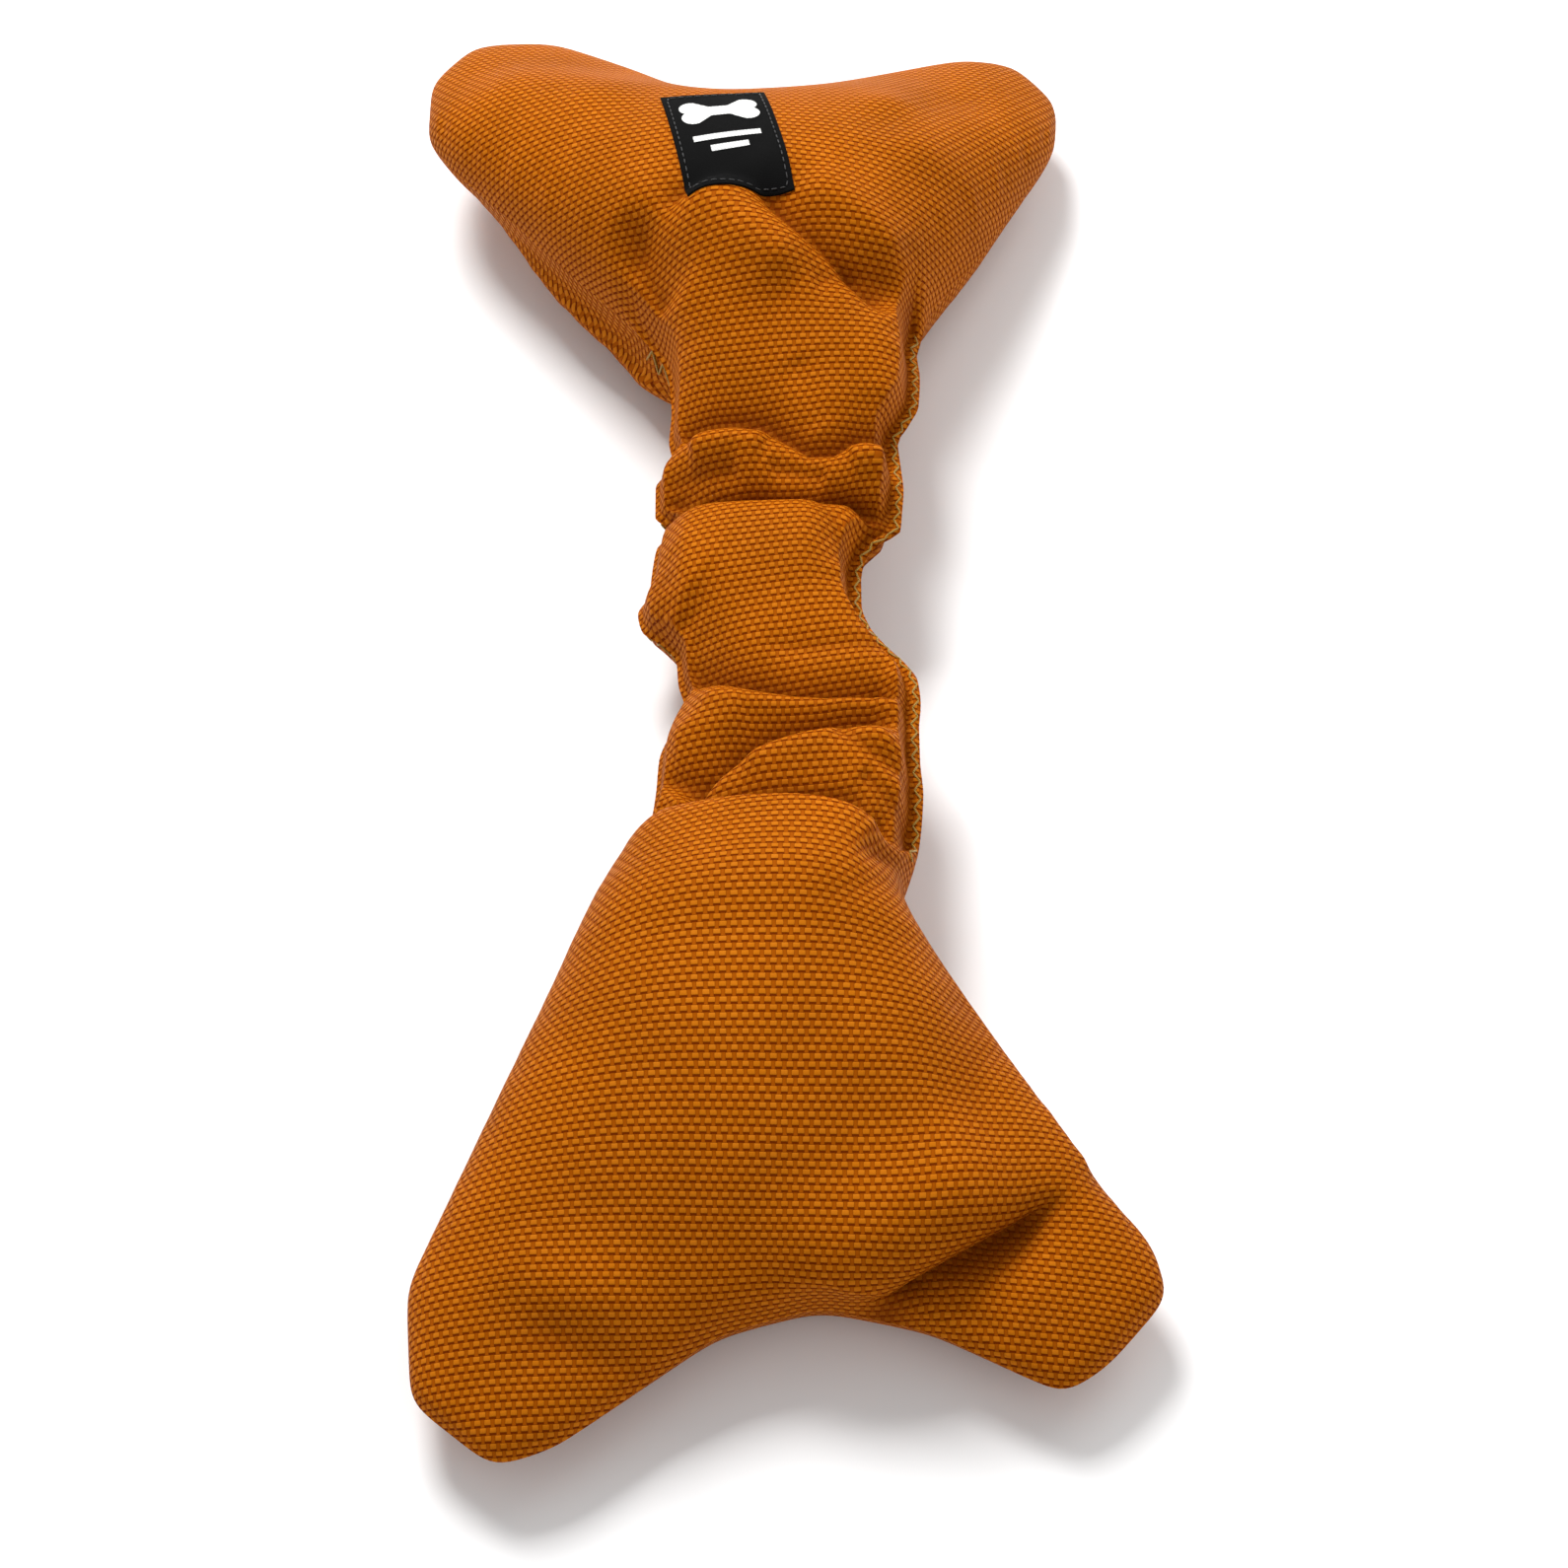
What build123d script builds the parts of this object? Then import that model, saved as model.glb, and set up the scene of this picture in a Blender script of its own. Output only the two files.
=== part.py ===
from build123d import *

# A stuffed tug bumper in the shape of a bone, lying on its back panel.  Two notched heads are
# joined by a neck sleeve that two elastic bands gather.  Millimetres: X across, Y along, Z up.
# The origin is on the floor below the middle of the neck.

import math
import os

# ---------------------------------------------------------------- driving dimensions
# cloth, padding and clearances
FABRIC = 0.8  # wall of the woven nylon
GAP = 0.25  # clearance between two separate pieces
SEAM_HEIGHT = 22.0  # the side seams lie in this plane above the floor

# plan of a head, measured from its root where it meets the neck
HEAD_LENGTH = 138.0  # to the lobe corners before they are rounded, which takes off 5
HEAD_WIDTH = 155.0  # rounding takes off another 5 here
NOTCH_DEPTH = 33.0  # how far the end edge dips between the two lobes
TIP_SPACING = 106.0  # between the two lobe tips
BLUNT_LENGTH = 35.0  # a lobe's outer corner lies this far behind its tip
LOBE_RADIUS = 16.0
NOTCH_RADIUS = 34.0

# thickness of a head above and below the seam plane
EDGE_RISE = 9.5  # straight wall at the seam before the crown starts
EDGE_ROUND = 8.5
BELLY_SHARE = 0.3  # the thickest place, as a share of the head's length from the root
SHOULDER_SHARE = 0.64
FRONT_CROWN = {"belly": 38.0, "shoulder": 27.0, "tip": 12.0}
BACK_CROWN = {"belly": 27.0, "shoulder": 22.0, "tip": 11.0}

# neck sleeve: five gathers between creases
NECK_LENGTH = 115.0
NECK_WIDTH = 54.0
NECK_THICKNESS = 40.0
CREASE_DEPTH = 2.2  # how much narrower the sleeve is at a crease
FOLD_AT = 33.0  # fold creases, on both sides of the middle
TURN_AT = 10.5  # side bend and twist creases, on both sides of the middle

# elastic bands along the two side seams of the neck
BAND_WIDTH = 10.0
BAND_THICKNESS = 1.2
BAND_ANCHOR = 14.0  # length sewn inside each head
BAND_INSET = 4.6  # from the sleeve's side to the band's outer face
ZIGZAG_PITCH = 6.0
TACK_LENGTH = 8.0
TACK_THICKNESS = 0.8

# seams
ALLOWANCE_WIDTH = 7.0
STITCH_PITCH = 6.0
STITCH_LENGTH = 4.2
THREAD = 0.6
STITCH_FROM_SEAM = 1.6

# woven label on the front of the upper head
LABEL_WIDTH = 25.0
LABEL_LENGTH = 40.0
LABEL_THICKNESS = 0.5
LABEL_FROM_NOTCH = 18.0  # from the notch edge to the label's upper end
LABEL_SHIFT = -14.0
LABEL_HEM = 1.6  # the label's stitching runs this far inside its edge
EMBLEM_LENGTH = 15.0
EMBLEM_RAISE = 0.25

# ---------------------------------------------------------------- worked out from them
HEAD_ROOT = NECK_LENGTH / 2
OUTER_CORNER = (HEAD_WIDTH / 2, HEAD_LENGTH - BLUNT_LENGTH)
TIP_CORNER = (TIP_SPACING / 2, HEAD_LENGTH)
NOTCH_POINT = (0.0, HEAD_LENGTH - NOTCH_DEPTH)
BELLY_AT = BELLY_SHARE * HEAD_LENGTH
SHOULDER_AT = SHOULDER_SHARE * HEAD_LENGTH
BAND_X = NECK_WIDTH / 2 - BAND_INSET  # the band's outer face
BAND_END = HEAD_ROOT + BAND_ANCHOR
CREASES = [-HEAD_ROOT, -FOLD_AT, -TURN_AT, TURN_AT, FOLD_AT, HEAD_ROOT]
ROOT_RUN = 20.0  # the plan is drawn this far past the root before it is cut off
VAULT_MARGIN = 1.5  # the crown surface is cut this much wider than the plan
ROOM = 2 * (HEAD_LENGTH + HEAD_WIDTH)  # larger than the whole part


def half_width_at(y):
    """Half the distance between a head's side edges, drawn on straight past the outer corners."""
    return NECK_WIDTH / 2 + y / OUTER_CORNER[1] * (OUTER_CORNER[0] - NECK_WIDTH / 2)


def head_plan(inset):
    """Plan of a head, root at y = 0 and lobes towards +Y, drawn inwards by inset."""
    slope = (OUTER_CORNER[0] - NECK_WIDTH / 2) / OUTER_CORNER[1]
    below_root = (NECK_WIDTH / 2 - ROOT_RUN * slope, -ROOT_RUN)
    right = [below_root, OUTER_CORNER, TIP_CORNER]
    left = [(-x, y) for x, y in reversed(right)]
    outline = make_face(Polyline(*right, NOTCH_POINT, *left, close=True))
    if inset:
        outline = offset(outline, amount=-inset, kind=Kind.INTERSECTION)
    lobes = [v for v in outline.vertices() if v.Y > 1 and abs(v.X) > 1]
    outline = fillet(lobes, LOBE_RADIUS - inset)
    notch = [v for v in outline.vertices() if abs(v.X) < 1e-3 and v.Y > 1]
    outline = fillet(notch, NOTCH_RADIUS + inset)
    # the side edges run straight on past the root, where they're cut off
    beyond_root = Rectangle(ROOM, ROOM, align=(Align.CENTER, Align.MAX))
    return outline - beyond_root


def crown_section(y, crown, inset):
    """Cross-section of the crown: straight walls and an arc over them, standing on the seam."""
    half = half_width_at(y) + VAULT_MARGIN - inset
    rise = EDGE_RISE - inset
    walls = Polyline((-half, rise), (-half, 0), (half, 0), (half, rise))
    roof = ThreePointArc((half, rise), (0, crown - inset), (-half, rise))
    return Plane(origin=(0, y, 0), x_dir=(1, 0, 0), z_dir=(0, -1, 0)) * make_face(walls + roof)


def half_head(crowns, inset):
    """Half a head above the seam plane, drawn inwards by inset, with a rounded rim."""
    beyond = HEAD_LENGTH + 4
    stations = [
        (-2.0, NECK_THICKNESS / 2),
        (BELLY_AT, crowns["belly"]),
        (SHOULDER_AT, crowns["shoulder"]),
        (beyond, crowns["tip"]),
    ]
    vault = loft([crown_section(y, crown, inset) for y, crown in stations])
    body = extrude(head_plan(inset), amount=ROOM / 4) & vault
    root = body.bounding_box().min.Y
    rim = [
        e
        for e in body.edges()
        if e.bounding_box().min.Z > 0.5 * (EDGE_RISE - inset)
        and e.bounding_box().max.Y > root + 1
        and not (e.bounding_box().size.Z > 5 and e.bounding_box().size.X < 0.01)
    ]
    return fillet(rim, EDGE_ROUND - inset)


def above(z):
    """Everything above a height, measured from the seam plane."""
    return Pos(0, 0, z) * Box(ROOM, ROOM, ROOM, align=(Align.CENTER, Align.CENTER, Align.MIN))


def head_front(inset):
    """The upper half of a head, standing on the seam plane."""
    return half_head(FRONT_CROWN, inset)


def head_back(inset):
    """The lower half of a head, pressed flat where it rests on the floor."""
    belly = mirror(half_head(BACK_CROWN, inset), about=Plane.XY)
    return belly & above(inset - SEAM_HEIGHT)


def seam_ring(near, far, thickness):
    """A flat ring that follows the head's edge in the seam plane, without its root side."""
    ring = head_plan(near) - head_plan(far)
    ring = extrude(ring, amount=thickness / 2, both=True)
    root_side = Box(HEAD_WIDTH, 2 * (BAND_ANCHOR + 1), ROOM)
    return ring - root_side


def seam_stitches():
    """Lock stitches that hold both panels together, lying on the seam allowance."""
    path = head_plan(FABRIC + STITCH_FROM_SEAM).face().outer_wire()
    count = int(path.length / STITCH_PITCH)
    stitches = []
    for i in range(count):
        t = (i + 0.5) / count
        at = path.position_at(t)
        if at.Y < BAND_ANCHOR + STITCH_LENGTH:
            continue
        along = path.tangent_at(t)
        turn = math.degrees(math.atan2(along.Y, along.X))
        stitch = Box(STITCH_LENGTH, THREAD, THREAD)
        stitches.append(Pos(at.X, at.Y, FABRIC + THREAD / 2) * Rot(0, 0, turn) * stitch)
    return Compound(stitches)


def band_slots(clearance):
    """The space of both elastic bands, with a clearance round them."""
    size = (
        BAND_THICKNESS + TACK_THICKNESS + 2 * clearance,
        2 * (BAND_END + clearance),
        BAND_WIDTH + 2 * clearance,
    )
    middle = BAND_X - (BAND_THICKNESS - TACK_THICKNESS) / 2
    return [Pos(side * middle, 0, 0) * Box(*size) for side in (-1, 1)]


def place_head(shape, side):
    """Moves a head piece from its own root to the lower (-1) or upper (+1) end of the neck."""
    turned = shape if side > 0 else Rot(0, 0, 180) * shape
    return Pos(0, side * HEAD_ROOT, SEAM_HEIGHT) * turned


def head_pieces(name, side):
    """Every piece of one head: two panels, padding, seam allowance and seam stitches."""
    inner = FABRIC + GAP
    front = head_front(0) - head_front(FABRIC)
    back = head_back(0) - head_back(FABRIC)
    groove_depth = inner + ALLOWANCE_WIDTH + GAP
    groove = extrude(head_plan(inner) - head_plan(groove_depth), amount=FABRIC + THREAD + GAP, both=True)
    padding = (head_front(inner) + head_back(inner)) - groove
    padding = split(padding, bisect_by=Plane.XZ.offset(-GAP), keep=Keep.BOTTOM)
    slots = [Pos(0, -HEAD_ROOT, 0) * slot for slot in band_slots(GAP)]
    for slot in slots:
        padding = padding - slot
    allowance = seam_ring(FABRIC + GAP / 5, FABRIC + ALLOWANCE_WIDTH, 2 * FABRIC)
    pieces = {
        "front_panel": front,
        "back_panel": back,
        "padding": padding,
        "seam_allowance": allowance,
        "seam_stitches": seam_stitches(),
    }
    return {f"{name}_{key}": place_head(shape, side) for key, shape in pieces.items()}


def sleeve_solid(low, high, inset):
    """One gather of the neck: an oval barrel between two creases."""
    across, through = NECK_WIDTH / 2 - inset, NECK_THICKNESS / 2 - inset
    stations = [(low, CREASE_DEPTH), ((low + high) / 2, 0.0), (high, CREASE_DEPTH)]
    ovals = [
        Plane(origin=(0, y, SEAM_HEIGHT), x_dir=(1, 0, 0), z_dir=(0, -1, 0))
        * Ellipse(across - pinch, through - pinch)
        for y, pinch in stations
    ]
    return loft(ovals)


def gather_pieces(number, low, high):
    """One gather of the neck: front and back of the sleeve, and the padding in it."""
    low, high = low + GAP / 2, high - GAP / 2
    sleeve = sleeve_solid(low, high, 0) - sleeve_solid(low, high, FABRIC)
    seam = Plane(origin=(0, 0, SEAM_HEIGHT))
    padding = sleeve_solid(low, high, FABRIC + GAP)
    for slot in band_slots(GAP):
        padding = padding - Pos(0, 0, SEAM_HEIGHT) * slot
    return {
        f"gather_{number}_front": split(sleeve, bisect_by=seam, keep=Keep.TOP),
        f"gather_{number}_back": split(sleeve, bisect_by=seam, keep=Keep.BOTTOM),
        f"gather_{number}_padding": padding,
    }


def elastic_pieces():
    """Two elastic bands, their zigzag stitching and the bar tacks at their four ends."""
    pieces = {}
    zigzag_count = int(2 * HEAD_ROOT / ZIGZAG_PITCH)
    tacks = {-1: [], 1: []}
    for name, side in (("left", -1), ("right", 1)):
        middle = side * (BAND_X - BAND_THICKNESS / 2)
        face = side * (BAND_X + THREAD / 2)
        band = Box(BAND_THICKNESS, 2 * BAND_END, BAND_WIDTH)
        pieces[f"{name}_elastic_band"] = Pos(middle, 0, SEAM_HEIGHT) * band
        zigzag = []
        for i in range(zigzag_count):
            y = (i + 0.5 - zigzag_count / 2) * ZIGZAG_PITCH
            slant = 40 if i % 2 else -40
            stitch = Rot(slant, 0, 0) * Box(THREAD, ZIGZAG_PITCH, THREAD)
            zigzag.append(Pos(face, y, SEAM_HEIGHT) * stitch)
        pieces[f"{name}_elastic_stitches"] = Compound(zigzag)
        for end in (-1, 1):
            tack = Box(TACK_THICKNESS - GAP / 2, TACK_LENGTH, BAND_WIDTH - 2)
            at_x = side * (BAND_X + GAP / 8 + TACK_THICKNESS / 2)
            at_y = end * (BAND_END - TACK_LENGTH / 2 - 0.5)
            tacks[end].append(Pos(at_x, at_y, SEAM_HEIGHT) * tack)
    pieces["lower_bar_tacks"] = Compound(tacks[-1])
    pieces["upper_bar_tacks"] = Compound(tacks[1])
    return pieces


def on_front(plan, low, high):
    """A thin layer over the front of a head, from low to high above its cloth."""
    layer = head_front(-high) - (head_front(-low) if low else head_front(0))
    return extrude(plan, amount=ROOM / 4) & layer


def label_pieces():
    """The woven label, its row of stitches and a plain bone emblem."""
    top = NOTCH_POINT[1] - LABEL_FROM_NOTCH
    centre = Pos(LABEL_SHIFT, top - LABEL_LENGTH / 2)
    label = on_front(centre * Rectangle(LABEL_WIDTH, LABEL_LENGTH), 0, LABEL_THICKNESS)
    hem_width = LABEL_WIDTH - 2 * LABEL_HEM
    hem_length = LABEL_LENGTH - 2 * LABEL_HEM
    dashes = Sketch()
    count = int(hem_width / 4)
    for end in (-1, 1):
        for i in range(count):
            x = (i + 0.5 - count / 2) * hem_width / count
            dashes += centre * Pos(x, end * hem_length / 2) * Rectangle(2.6, THREAD)
    rows = int(hem_length / 4)
    for side in (-1, 1):
        for i in range(rows):
            y = (i + 0.5 - rows / 2) * hem_length / rows
            dashes += centre * Pos(side * hem_width / 2, y) * Rectangle(THREAD, 2.6)
    stitches = on_front(dashes, LABEL_THICKNESS, LABEL_THICKNESS + EMBLEM_RAISE)
    bone = Rectangle(EMBLEM_LENGTH * 0.66, EMBLEM_LENGTH * 0.24)
    for sx in (-1, 1):
        for sy in (-1, 1):
            bone += Pos(sx * EMBLEM_LENGTH * 0.36, sy * EMBLEM_LENGTH * 0.13) * Circle(EMBLEM_LENGTH * 0.15)
    emblem_at = centre * Pos(0, LABEL_LENGTH * 0.18)
    emblem = on_front(emblem_at * bone, LABEL_THICKNESS, LABEL_THICKNESS + EMBLEM_RAISE)
    pieces = {"label": label, "label_stitches": stitches, "label_emblem": emblem}
    return {name: place_head(shape, 1) for name, shape in pieces.items()}


def main():
    """Builds every piece and writes one STEP file for each."""
    pieces = {}
    pieces.update(head_pieces("lower", -1))
    pieces.update(head_pieces("upper", 1))
    for number, (low, high) in enumerate(zip(CREASES, CREASES[1:]), start=1):
        pieces.update(gather_pieces(number, low, high))
    pieces.update(elastic_pieces())
    pieces.update(label_pieces())
    os.makedirs("parts", exist_ok=True)
    for name, shape in pieces.items():
        export_step(shape, f"parts/{name}.step")


main()
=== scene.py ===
"""Bone-shaped stretch tug bumper: woven nylon covers, gathered elastic neck, label, studio and camera."""

from __future__ import annotations

import logging
import math
from collections.abc import Callable
from dataclasses import dataclass, field
from enum import Enum

import bpy
import numpy as np
from mathutils import Matrix, Vector
from mathutils.bvhtree import BVHTree

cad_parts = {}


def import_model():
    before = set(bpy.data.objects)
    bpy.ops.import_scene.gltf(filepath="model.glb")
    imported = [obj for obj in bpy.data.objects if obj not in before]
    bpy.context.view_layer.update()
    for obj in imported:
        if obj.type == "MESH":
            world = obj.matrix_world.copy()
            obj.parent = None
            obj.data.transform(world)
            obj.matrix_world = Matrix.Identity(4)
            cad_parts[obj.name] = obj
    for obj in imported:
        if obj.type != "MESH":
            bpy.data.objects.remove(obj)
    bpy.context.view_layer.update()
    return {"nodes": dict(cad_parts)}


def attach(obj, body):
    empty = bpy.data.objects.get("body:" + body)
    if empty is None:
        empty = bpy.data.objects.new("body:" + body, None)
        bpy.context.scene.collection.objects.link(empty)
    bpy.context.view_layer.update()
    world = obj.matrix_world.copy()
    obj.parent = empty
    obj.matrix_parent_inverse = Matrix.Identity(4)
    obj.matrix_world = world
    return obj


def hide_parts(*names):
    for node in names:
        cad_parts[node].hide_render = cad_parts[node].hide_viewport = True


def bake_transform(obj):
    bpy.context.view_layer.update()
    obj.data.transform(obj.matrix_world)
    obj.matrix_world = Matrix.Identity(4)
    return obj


LOG = logging.getLogger("bumper")
MM = 0.001  # metres in a millimetre
FAR = 300.0  # mm, beyond either end of the bumper
Colour = tuple[float, float, float, float]


class Side(Enum):
    """The two cloth sides of the bumper."""

    FRONT = 1
    BACK = -1


# --------------------------------------------------------------------------- small numpy helpers


def smooth_step(t: np.ndarray) -> np.ndarray:
    """Clamps t to 0..1 and eases both ends: 3t^2 - 2t^3."""
    t = np.clip(t, 0.0, 1.0)
    return t * t * (3.0 - 2.0 * t)


def soft_interp(at: np.ndarray, knots: list[float], values: list[float]) -> np.ndarray:
    """Monotone cubic curve through knots.

    Each span is a Hermite cubic whose end slopes are the harmonic mean of the neighbouring slopes,
    so the curve never swings past its knots.

    Args:
        at: Where to read the curve.
        knots: Rising positions.
        values: Values at the knots.

    Returns:
        The values at `at`, held constant beyond the ends.
    """
    x = np.asarray(knots, float)
    y = np.asarray(values, float)
    step = np.diff(x)
    slope = np.diff(y) / step
    same = slope[:-1] * slope[1:] > 0
    mean = np.where(same, 2 * slope[:-1] * slope[1:] / np.where(same, slope[:-1] + slope[1:], 1.0), 0.0)
    grade = np.concatenate([[slope[0]], mean, [slope[-1]]])
    a = np.clip(np.asarray(at, float), x[0], x[-1])
    i = np.clip(np.searchsorted(x, a) - 1, 0, len(step) - 1)
    t = (a - x[i]) / step[i]
    h00 = 2 * t**3 - 3 * t**2 + 1
    h10 = t**3 - 2 * t**2 + t
    h01 = -2 * t**3 + 3 * t**2
    h11 = t**3 - t**2
    return h00 * y[i] + h10 * step[i] * grade[i] + h01 * y[i + 1] + h11 * step[i] * grade[i + 1]


def blur_line(points: np.ndarray, spread: float) -> np.ndarray:
    """Rounds a densely sampled open line: a Gaussian average along it, its two ends held.

    Args:
        points: (N, 2) points, evenly spaced.
        spread: Gaussian sigma, in samples.

    Returns:
        The rounded line, same length.
    """
    half = int(3 * spread)
    weight = np.exp(-0.5 * (np.arange(-half, half + 1) / spread) ** 2)
    weight /= weight.sum()
    before = 2 * points[0] - points[half:0:-1]
    after = 2 * points[-1] - points[-2 : -half - 2 : -1]
    padded_line = np.concatenate([before, points, after])
    blurred = [np.convolve(column, weight, mode="valid") for column in padded_line.T]
    return np.stack(blurred, axis=1)


def run_length(points: np.ndarray) -> np.ndarray:
    """Length along a polyline up to each of its points."""
    return np.concatenate([[0.0], np.cumsum(np.linalg.norm(np.diff(points, axis=0), axis=1))])


def resample(points: np.ndarray, count: int) -> np.ndarray:
    """Evenly spaced points along a polyline, by length."""
    run = run_length(points)
    at = np.linspace(0.0, run[-1], count)
    return np.stack([np.interp(at, run, points[:, k]) for k in range(points.shape[1])], axis=1)


def blur_grid(values: np.ndarray, passes: int) -> np.ndarray:
    """Averages a grid with its neighbours, (1 2 1)/4 each way, edges held, repeated."""
    out = values.copy()
    for _ in range(passes):
        out[1:-1] = 0.25 * out[:-2] + 0.5 * out[1:-1] + 0.25 * out[2:]
        out[:, 1:-1] = 0.25 * out[:, :-2] + 0.5 * out[:, 1:-1] + 0.25 * out[:, 2:]
    return out


def least_nearby(values: np.ndarray, reach: int) -> np.ndarray:
    """The smallest value within `reach` steps each way, one axis after the other."""
    out = values
    for axis in (0, 1):
        before, after = np.take(out, [0] * reach, axis), np.take(out, [-1] * reach, axis)
        wide = np.concatenate([before, out, after], axis=axis)
        size = out.shape[axis]
        out = np.min([np.take(wide, range(k, k + size), axis) for k in range(2 * reach + 1)], axis=0)
    return out


def line_distance(x: np.ndarray, y: np.ndarray, line: list[tuple[float, float]]) -> tuple[np.ndarray, ...]:
    """Distance from grid points to a crease line.

    Args:
        x: Grid of x, in mm.
        y: Grid of y, in mm.
        line: Corner points of the crease.

    Returns:
        Distance, signed side (+1 left of the line's direction), the share along the line, and the
        unit direction away from the line (x and y last).
    """
    pts = np.asarray(line, float)
    if len(pts) > 2:
        pts = blur_line(resample(pts, 41), 2.5)[::4]
    seg = np.linalg.norm(np.diff(pts, axis=0), axis=1)
    start = np.concatenate([[0.0], np.cumsum(seg)])
    best = np.full(x.shape, 1e9)
    sign = np.ones(x.shape)
    share = np.zeros(x.shape)
    away = np.zeros(x.shape + (2,))
    for k in range(len(seg)):
        ax, ay = pts[k]
        dx, dy = (pts[k + 1] - pts[k]) / max(seg[k], 1e-9)
        t = np.clip((x - ax) * dx + (y - ay) * dy, 0.0, seg[k])
        ox, oy = x - ax - t * dx, y - ay - t * dy
        dist = np.hypot(ox, oy)
        closer = dist < best
        best = np.where(closer, dist, best)
        sign = np.where(closer, np.sign(dx * oy - dy * ox), sign)
        share = np.where(closer, (start[k] + t) / start[-1], share)
        away = np.where(closer[..., None], np.stack([ox, oy], axis=-1), away)
    return best, sign, share, away / (best[..., None] + 1e-6)


def conjugate_gradients(
    apply: Callable[[np.ndarray], np.ndarray],
    f: np.ndarray,
    residual: np.ndarray,
    diagonal: np.ndarray | float,
    tolerance: float,
    rounds: int,
) -> np.ndarray:
    """Solves a symmetric linear system by conjugate gradients.

    Each step follows the residual over the diagonal, made conjugate to the step before it.

    Args:
        apply: The system's matrix times a grid.
        f: The first guess.
        residual: The goal less the matrix times the first guess.
        diagonal: The matrix's diagonal, or 1 to leave the residual as it is.
        tolerance: Share of the first residual at which it stops.
        rounds: The most steps it takes.

    Returns:
        The solution.
    """
    scaled = residual / diagonal
    step = scaled
    size = float((residual * scaled).sum())
    limit = tolerance**2 * float((residual * residual).sum())
    for _ in range(rounds):
        moved = apply(step)
        alpha = size / float((step * moved).sum())
        f = f + alpha * step
        residual = residual - alpha * moved
        if float((residual * residual).sum()) < limit:
            break
        scaled = residual / diagonal
        size_new = float((residual * scaled).sum())
        step = scaled + (size_new / size) * step
        size = size_new
    return f


def solve_membrane(x: np.ndarray, y: np.ndarray) -> np.ndarray:
    """Sag of a flat membrane under even pressure, held along the grid's border.

    Solves laplace(f) = -1 on the curved grid with linear triangles and conjugate gradients.
    The square root of twice f is the height of a stuffed cover: round across a long tube,
    and a smooth cushion where the outline is wide.

    Args:
        x: Grid of x, in mm.
        y: Grid of y, in mm.

    Returns:
        The grid of f, in mm squared, zero on the border.
    """
    corner = {
        "a": (slice(None, -1), slice(None, -1)),
        "b": (slice(None, -1), slice(1, None)),
        "c": (slice(1, None), slice(None, -1)),
        "d": (slice(1, None), slice(1, None)),
    }
    triangles = []
    load = np.zeros(x.shape)
    diagonal = np.zeros(x.shape)
    for names in ("abc", "dcb"):
        px = [x[corner[n]] for n in names]
        py = [y[corner[n]] for n in names]
        ex = [px[2] - px[1], px[0] - px[2], px[1] - px[0]]
        ey = [py[2] - py[1], py[0] - py[2], py[1] - py[0]]
        double = np.abs(ex[0] * ey[1] - ey[0] * ex[1]) + 1e-6
        stiff = [[(ex[i] * ex[j] + ey[i] * ey[j]) / (2 * double) for j in range(3)] for i in range(3)]
        triangles.append((names, stiff))
        for i, n in enumerate(names):
            load[corner[n]] += double / 6
            diagonal[corner[n]] += stiff[i][i]

    inside = np.zeros(x.shape, bool)
    inside[1:-1, 1:-1] = True

    def apply(f: np.ndarray) -> np.ndarray:
        """The stiffness matrix times f."""
        out = np.zeros_like(f)
        for names, stiff in triangles:
            values = [f[corner[n]] for n in names]
            for i, n in enumerate(names):
                row = stiff[i]
                out[corner[n]] += row[0] * values[0] + row[1] * values[1] + row[2] * values[2]
        return np.where(inside, out, 0.0)

    goal = np.where(inside, load, 0.0)
    return conjugate_gradients(apply, np.zeros_like(load), goal, diagonal, 1e-5, 3000)


def grid_normals(p: np.ndarray) -> np.ndarray:
    """Unit normals of a grid of points, from the cross product of its two difference directions."""
    along = np.gradient(p, axis=0)
    across = np.gradient(p, axis=1)
    n = np.cross(across, along)
    return n / (np.linalg.norm(n, axis=2, keepdims=True) + 1e-12)


def weave_directions(n: np.ndarray, facing: int) -> tuple[np.ndarray, np.ndarray]:
    """Weft and warp directions on the cloth.

    The weft is the x axis laid into the surface, and the warp the y axis. Where the surface
    faces one of the axes, the other axis decides, by weights of 1 minus the squared cosine.

    Args:
        n: (R, C, 3) unit normals.
        facing: 1 for the front, -1 for the back.

    Returns:
        Unit weft and warp directions.
    """
    def laid(axis: int) -> tuple[np.ndarray, np.ndarray]:
        """The axis laid into the surface, and how far the surface is from facing it."""
        v = -n[..., axis : axis + 1] * n
        v[..., axis] += 1.0
        size = np.linalg.norm(v, axis=2, keepdims=True)
        return v / (size + 1e-6), size**4

    weft, weft_share = laid(0)
    warp, warp_share = laid(1)
    turned = facing * np.cross(warp, n)
    weft = weft_share * weft + warp_share * turned
    weft /= np.linalg.norm(weft, axis=2, keepdims=True) + 1e-9
    return weft, facing * np.cross(n, weft)


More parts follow.
